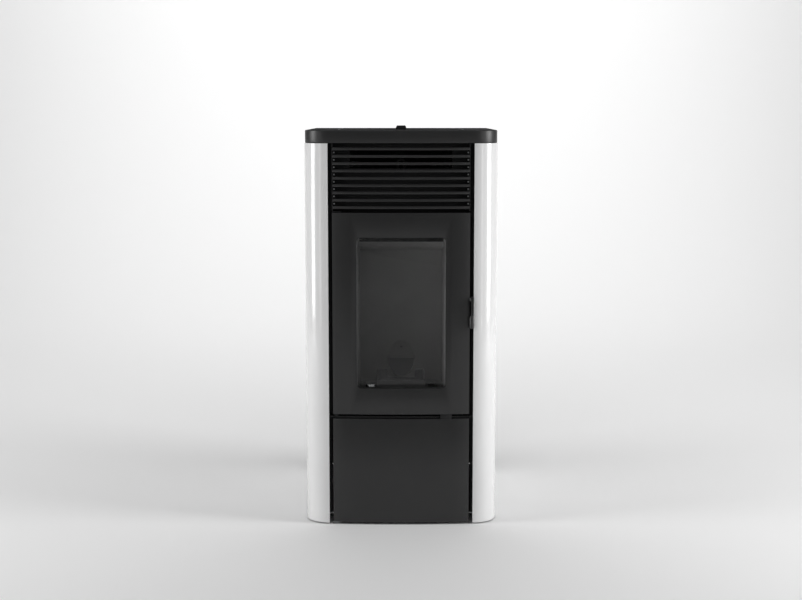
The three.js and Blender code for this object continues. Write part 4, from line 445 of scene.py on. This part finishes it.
# Bright zinc plate, as on the pegs, the screws and the latch shaft: silvery, with a faint bloom.
zinc_plate, zinc_plate_place = blank("bright_zinc_plate")
plate_bloom = add(
    zinc_plate, "ShaderNodeTexNoise", {"Scale": 1000 / 2.5, "Detail": 4}, {"Vector": zinc_plate_place}
)
plate_tone = add(
    zinc_plate,
    "ShaderNodeMixRGB",
    {"Color1": linear("#A9ABAC"), "Color2": linear("#C9CBCC")},
    {"Fac": plate_bloom.outputs[0]},
)
plate_relief = add(
    zinc_plate, "ShaderNodeBump", {"Strength": 0.1, "Distance": 0.0001}, {"Height": plate_bloom.outputs[0]}
)
close(
    zinc_plate,
    add(
        zinc_plate,
        "ShaderNodeBsdfPrincipled",
        {"Metallic": 1.0, "Roughness": 0.34},
        {"Base Color": plate_tone.outputs[0], "Normal": plate_relief.outputs[0]},
    ),
)

for comb in combs:
    comb.data.materials.append(stove_black)
    comb.data.materials.append(zinc_plate)
    for polygon in comb.data.polygons:
        polygon.material_index = 1 if polygon.center.y < comb_front - comb_thickness / 2 else 0
    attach(comb, "stove_body")


def screw(radius, head):
    """A round screw head with a sunk middle, facing -Y from the origin. Sizes in mm."""
    bpy.ops.object.select_all(action="DESELECT")
    bpy.ops.mesh.primitive_cylinder_add(
        vertices=16,
        radius=radius / 1000,
        depth=head / 1000,
        location=(0, -head / 2000, 0),
        rotation=(math.pi / 2, 0, 0),
    )
    piece = bpy.context.object
    bpy.ops.object.transform_apply(location=True, rotation=True, scale=True)
    for polygon in piece.data.polygons:
        polygon.select = polygon.normal.y < -0.9
    for edge in piece.data.edges:
        edge.select = all(piece.data.vertices[v].co.y < -head / 1100 for v in edge.vertices)
    bpy.ops.object.mode_set(mode="EDIT")
    bpy.ops.mesh.select_mode(type="FACE")
    bpy.ops.mesh.bevel(offset=head / 2400, segments=2, affect="EDGES")
    bpy.ops.object.mode_set(mode="OBJECT")
    deepest = min(v.co.y for v in piece.data.vertices)
    for polygon in piece.data.polygons:
        polygon.select = polygon.center.y < deepest + 1e-6 and polygon.normal.y < -0.9
    bpy.ops.object.mode_set(mode="EDIT")
    bpy.ops.mesh.inset(thickness=radius / 2200, depth=0)
    bpy.ops.mesh.inset(thickness=radius / 9000, depth=-head / 2200)
    bpy.ops.object.mode_set(mode="OBJECT")
    piece.data.materials.append(zinc_plate)
    bpy.ops.object.shade_smooth_by_angle(angle=math.radians(35))
    return piece


def fixings(name, body, pattern, places, facing=0.0):
    """Copies a screw to each place, turned about Z by degrees, as one piece on a body."""
    copies = []
    for place in places:
        copy = pattern.copy()
        copy.data = pattern.data.copy()
        bpy.context.scene.collection.objects.link(copy)
        copy.rotation_euler = (0, 0, math.radians(facing))
        copy.location = [c / 1000 for c in place]
        copies.append(copy)
    bpy.ops.object.select_all(action="DESELECT")
    for copy in copies:
        copy.select_set(True)
    bpy.context.view_layer.objects.active = copies[0]
    bpy.ops.object.transform_apply(location=True, rotation=True, scale=True)
    if len(copies) > 1:
        bpy.ops.object.join()
    copies[0].name = name
    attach(copies[0], body)
    return copies[0]


small_screw = screw(2.6, 1.8)


# ---------------------------------------------------------------- fire door
# A cast front, bowed and painted like the louvres, with a pane of glass ceramic in its back,
# a sheet retainer round the pane, and a woven rope that seals against the firebox.
dressed("fire_door_frame", "door_casting", anthracite, ease=0.6, turn=25)

# Glass ceramic: clear, faintly grey through its thickness, with a polished face. It is seen
# through by its alpha, which thins its gloss too, so the IOR is raised to keep the real gloss.
glass, glass_place = blank("clear_glass_ceramic")
glass_soot = add(glass, "ShaderNodeTexNoise", {"Scale": 1000 / 160, "Detail": 4}, {"Vector": glass_place})
glass_tone = add(
    glass,
    "ShaderNodeMixRGB",
    {"Color1": linear("#1B1C1D"), "Color2": linear("#232324")},
    {"Fac": glass_soot.outputs[0]},
)
close(
    glass,
    add(
        glass,
        "ShaderNodeBsdfPrincipled",
        {"Roughness": 0.04, "IOR": 2.3, "Alpha": 0.18},
        {"Base Color": glass_tone.outputs[0]},
    ),
)
dressed("door_glass", "door_pane", glass, ease=0.4, turn=25)

# Zinc-coated sheet: large soft spangles of slightly different tone, a little dulled.
spangle, spangle_place = blank("spangled_zinc_sheet")
spangle_cells = add(
    spangle, "ShaderNodeTexVoronoi", {"Scale": 1000 / 9}, {"Vector": spangle_place}
)
spangle_tone = add(
    spangle,
    "ShaderNodeMixRGB",
    {"Color1": linear("#8E9193"), "Color2": linear("#ABAEB0")},
    {"Fac": spangle_cells.outputs["Color"]},
)
spangle_scuff = add(
    spangle, "ShaderNodeTexNoise", {"Scale": 1000 / 25, "Detail": 5}, {"Vector": spangle_place}
)
spangle_rough = add(
    spangle,
    "ShaderNodeMapRange",
    {"To Min": 0.3, "To Max": 0.5},
    {"Value": spangle_scuff.outputs[0]},
)
close(
    spangle,
    add(
        spangle,
        "ShaderNodeBsdfPrincipled",
        {"Metallic": 1.0},
        {"Base Color": spangle_tone.outputs[0], "Roughness": spangle_rough.outputs[0]},
    ),
)
coat(spangle, "glass_retainer")

# Woven glass-fibre rope, dyed charcoal: a plait of slanting strands about 3 mm wide.
rope, rope_place = blank("woven_glass_rope")
rope_slant = add(rope, "ShaderNodeMapping", {"Rotation": (0, math.radians(45), 0)}, {"Vector": rope_place})
rope_strands = add(
    rope,
    "ShaderNodeTexWave",
    {"wave_type": "BANDS", "bands_direction": "X", "Scale": 1000 / 20, "Distortion": 1.2, "Detail": 1},
    {"Vector": rope_slant.outputs[0]},
)
rope_tone = add(
    rope,
    "ShaderNodeMixRGB",
    {"Color1": linear("#2E2C29"), "Color2": linear("#55524C")},
    {"Fac": rope_strands.outputs["Fac"]},
)
rope_relief = add(
    rope, "ShaderNodeBump", {"Strength": 0.7, "Distance": 0.0012}, {"Height": rope_strands.outputs["Fac"]}
)
close(
    rope,
    add(
        rope,
        "ShaderNodeBsdfPrincipled",
        {"Roughness": 0.9, "Sheen Weight": 0.3, "Sheen Roughness": 0.5},
        {"Base Color": rope_tone.outputs[0], "Normal": rope_relief.outputs[0]},
    ),
)
dressed("door_gasket", "door_rope", rope, ease=2.0, turn=60)


# ---------------------------------------------------------------- door latch
# A steel lever with a round grip in the gap beside the door, and a plated shaft through the
# door's edge that ends in a hook behind it.
dressed("door_handle", "latch_lever", anthracite, ease=0.5)
coat(zinc_plate, "latch_shaft")


# ---------------------------------------------------------------- service door
# A folded sheet panel, bowed and painted like the door over it, with a pull tab on its top edge.
lower_panel = dressed("service_door", "lower_panel", anthracite, ease=0.3, turn=25)
lower_panel.data.materials.append(stove_black)
tab_height = 0.0105
tab_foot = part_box("service_door")[1].z - tab_height
for polygon in lower_panel.data.polygons:
    if polygon.center.z > tab_foot:
        polygon.material_index = 1


# ---------------------------------------------------------------- inner frame
# Folded posts, the crossbar between the doors and the upper hinge arm, matt black.
coat(stove_black, "frame_post_left", "frame_post_right", "frame_crossbar", "door_hinge_upper")


# ---------------------------------------------------------------- firebox
# A welded sheet box and the exchanger on its roof, matt black where the fire doesn't reach.
coat(stove_black, "firebox", "exchanger")

# The fire's lining is pressed from pale grey vermiculite board, smooth to the eye at arm's
# length. Smoke has dusted it in broad soft clouds. Its colour is also painted darker on the left
# and lighter on the right across the firebox: painted shade and painted light.
lining, lining_place = blank("smoked_vermiculite_with_painted_light")
lining_soot = add(
    lining, "ShaderNodeTexNoise", {"Scale": 1000 / 140, "Detail": 2}, {"Vector": lining_place}
)
lining_axes = add(lining, "ShaderNodeSeparateXYZ", links={"Vector": lining_place})
# Painted light and shade: the board's colour ramps from dark on the left to light on the right.
lining_light_ramp = add(
    lining,
    "ShaderNodeMapRange",
    {"From Min": -0.1, "From Max": 0.1},
    {"Value": lining_axes.outputs["X"]},
)
lining_board_and_painted_light = add(
    lining,
    "ShaderNodeMixRGB",
    {"Color1": linear("#A6A6A6"), "Color2": linear("#EDEDEC")},
    {"Fac": lining_light_ramp.outputs[0]},
)
lining_tone = add(
    lining,
    "ShaderNodeMixRGB",
    {"blend_type": "MULTIPLY", "Color2": linear("#DEDEDE")},
    {"Fac": lining_soot.outputs[0], "Color1": lining_board_and_painted_light.outputs[0]},
)
lining_flake = add(lining, "ShaderNodeTexNoise", {"Scale": 1000 / 9, "Detail": 1}, {"Vector": lining_place})
lining_relief = add(
    lining, "ShaderNodeBump", {"Strength": 0.1, "Distance": 0.0001}, {"Height": lining_flake.outputs[0]}
)
close(
    lining,
    add(
        lining,
        "ShaderNodeBsdfPrincipled",
        {"Roughness": 0.85, "IOR": 1.45},
        {"Base Color": lining_tone.outputs[0], "Normal": lining_relief.outputs[0]},
    ),
)
coat(lining, "liner_back", "liner_left", "liner_right", "baffle")

# Sand-cast grey iron for the burn pot, its seat and the feed chute: a coarse pale grey skin.
iron, iron_place = blank("sand_cast_grey_iron")
iron_sand = add(iron, "ShaderNodeTexNoise", {"Scale": 1000 / 1.6, "Detail": 5}, {"Vector": iron_place})
iron_tone = add(
    iron,
    "ShaderNodeMixRGB",
    {"Color1": linear("#848485"), "Color2": linear("#9A9A9B")},
    {"Fac": iron_sand.outputs[0]},
)
iron_relief = add(
    iron, "ShaderNodeBump", {"Strength": 0.4, "Distance": 0.0005}, {"Height": iron_sand.outputs[0]}
)
close(
    iron,
    add(
        iron,
        "ShaderNodeBsdfPrincipled",
        {"Metallic": 0.2, "Roughness": 0.6},
        {"Base Color": iron_tone.outputs[0], "Normal": iron_relief.outputs[0]},
    ),
)
dressed("burn_pot", "pot_casting", iron, ease=0.8)
coat(iron, "pot_seat")

# The chute is cast too. Its deflector, seen through the oval hole, is given the pale lining
# finish as painted light, so that it reads lit where little light reaches.
chute = dressed("feed_chute", "chute_casting", iron, turn=30)
chute.data.materials.append(lining)
deflector_low = 0.351
deflector_high = 0.42
deflector_back = 0.064
# Painted light: the deflector's faces take the pale lining finish.
for polygon in chute.data.polygons:
    middle = polygon.center
    if deflector_low < middle.z < deflector_high and middle.y < deflector_back:
        polygon.material_index = 1

# The ash drawer is folded from zinc-coated sheet.
coat(spangle, "ash_drawer")

# The igniter is bright drawn steel with fine lines along it, and the scraper is painted black.
steel, steel_place = blank("drawn_bright_steel")
steel_along = add(steel, "ShaderNodeMapping", {"Scale": (1, 1, 0.05)}, {"Vector": steel_place})
steel_lines = add(
    steel, "ShaderNodeTexNoise", {"Scale": 1000 / 0.8, "Detail": 2}, {"Vector": steel_along.outputs[0]}
)
steel_tone = add(
    steel,
    "ShaderNodeMixRGB",
    {"Color1": linear("#8A8B8C"), "Color2": linear("#A5A6A7")},
    {"Fac": steel_lines.outputs[0]},
)
steel_relief = add(
    steel, "ShaderNodeBump", {"Strength": 0.12, "Distance": 0.0001}, {"Height": steel_lines.outputs[0]}
)
close(
    steel,
    add(
        steel,
        "ShaderNodeBsdfPrincipled",
        {"Metallic": 1.0, "Roughness": 0.32},
        {"Base Color": steel_tone.outputs[0], "Normal": steel_relief.outputs[0]},
    ),
)
coat(steel, "igniter")
coat(stove_black, "scraper")


# ---------------------------------------------------------------- pellet feed
# A folded hopper of zinc-coated sheet over a tube with the turning auger in it.
coat(spangle, "hopper", "auger_tube")
dressed("auger_screw", "auger_flight", steel, turn=40)
coat(steel, "auger_motor")


# ---------------------------------------------------------------- fans and ducts
# Two scroll housings of zinc-coated sheet, pressed wheels, and their steel-cased motors.
coat(spangle, "smoke_fan_housing", "blower_housing", "smoke_duct")
coat(steel, "smoke_fan_wheel", "smoke_fan_motor", "blower_wheel", "blower_motor")


# ---------------------------------------------------------------- rear panel and pipe stubs
# Painted sheet with punched slots, screwed round its edge; a painted flue stub and a plain
# zinc-coated tube for the combustion air stand out through it.
coat(anthracite, "rear_panel")
dressed("flue_stub", "flue_pipe", anthracite, turn=40)
dressed("air_inlet", "air_pipe", spangle, turn=40)
coat(plastic, "power_inlet", "rocker_switch")

rear_face = 220
rear_side = 219
rear_top = 906
rear_screws = [
    (x, rear_face, z) for x in (-rear_side, rear_side) for z in (40, 180, 320, 460, 600, 740, 900)
]
rear_screws += [(x, rear_face, rear_top) for x in (-110, 0, 110)]
fixings("rear_screws", "stove_body", small_screw, rear_screws, facing=180)

# The control board is green glass-fibre laminate, and its parts keep the same green.
laminate, laminate_place = blank("green_glass_laminate")
laminate_weave = add(
    laminate, "ShaderNodeTexBrick", {"Scale": 1000 / 24, "Mortar Size": 0.03}, {"Vector": laminate_place}
)
laminate_weave.inputs["Color1"].default_value = linear("#1E5A34")
laminate_weave.inputs["Color2"].default_value = linear("#1B5230")
laminate_weave.inputs["Mortar"].default_value = linear("#2B7344")
close(
    laminate,
    add(
        laminate,
        "ShaderNodeBsdfPrincipled",
        {"Roughness": 0.4, "IOR": 1.55},
        {"Base Color": laminate_weave.outputs["Color"]},
    ),
)
coat(laminate, "control_board")


# ---------------------------------------------------------------- base and feet
# A folded zinc-coated base plate on four round feet moulded in black rubber.
coat(spangle, "base_plate")
rubber, rubber_place = blank("moulded_black_rubber")
rubber_skin = add(
    rubber, "ShaderNodeTexNoise", {"Scale": 1000 / 1.1, "Detail": 3}, {"Vector": rubber_place}
)
rubber_tone = add(
    rubber,
    "ShaderNodeMixRGB",
    {"Color1": linear("#161616"), "Color2": linear("#202020")},
    {"Fac": rubber_skin.outputs[0]},
)
rubber_relief = add(
    rubber, "ShaderNodeBump", {"Strength": 0.3, "Distance": 0.0002}, {"Height": rubber_skin.outputs[0]}
)
close(
    rubber,
    add(
        rubber,
        "ShaderNodeBsdfPrincipled",
        {"Roughness": 0.75, "IOR": 1.52},
        {"Base Color": rubber_tone.outputs[0], "Normal": rubber_relief.outputs[0]},
    ),
)
for corner in ("front_left", "front_right", "rear_left", "rear_right"):
    dressed(f"foot_{corner}", f"{corner}_foot", rubber, ease=0.6)

bpy.data.objects.remove(small_screw)

bpy.context.view_layer.update()
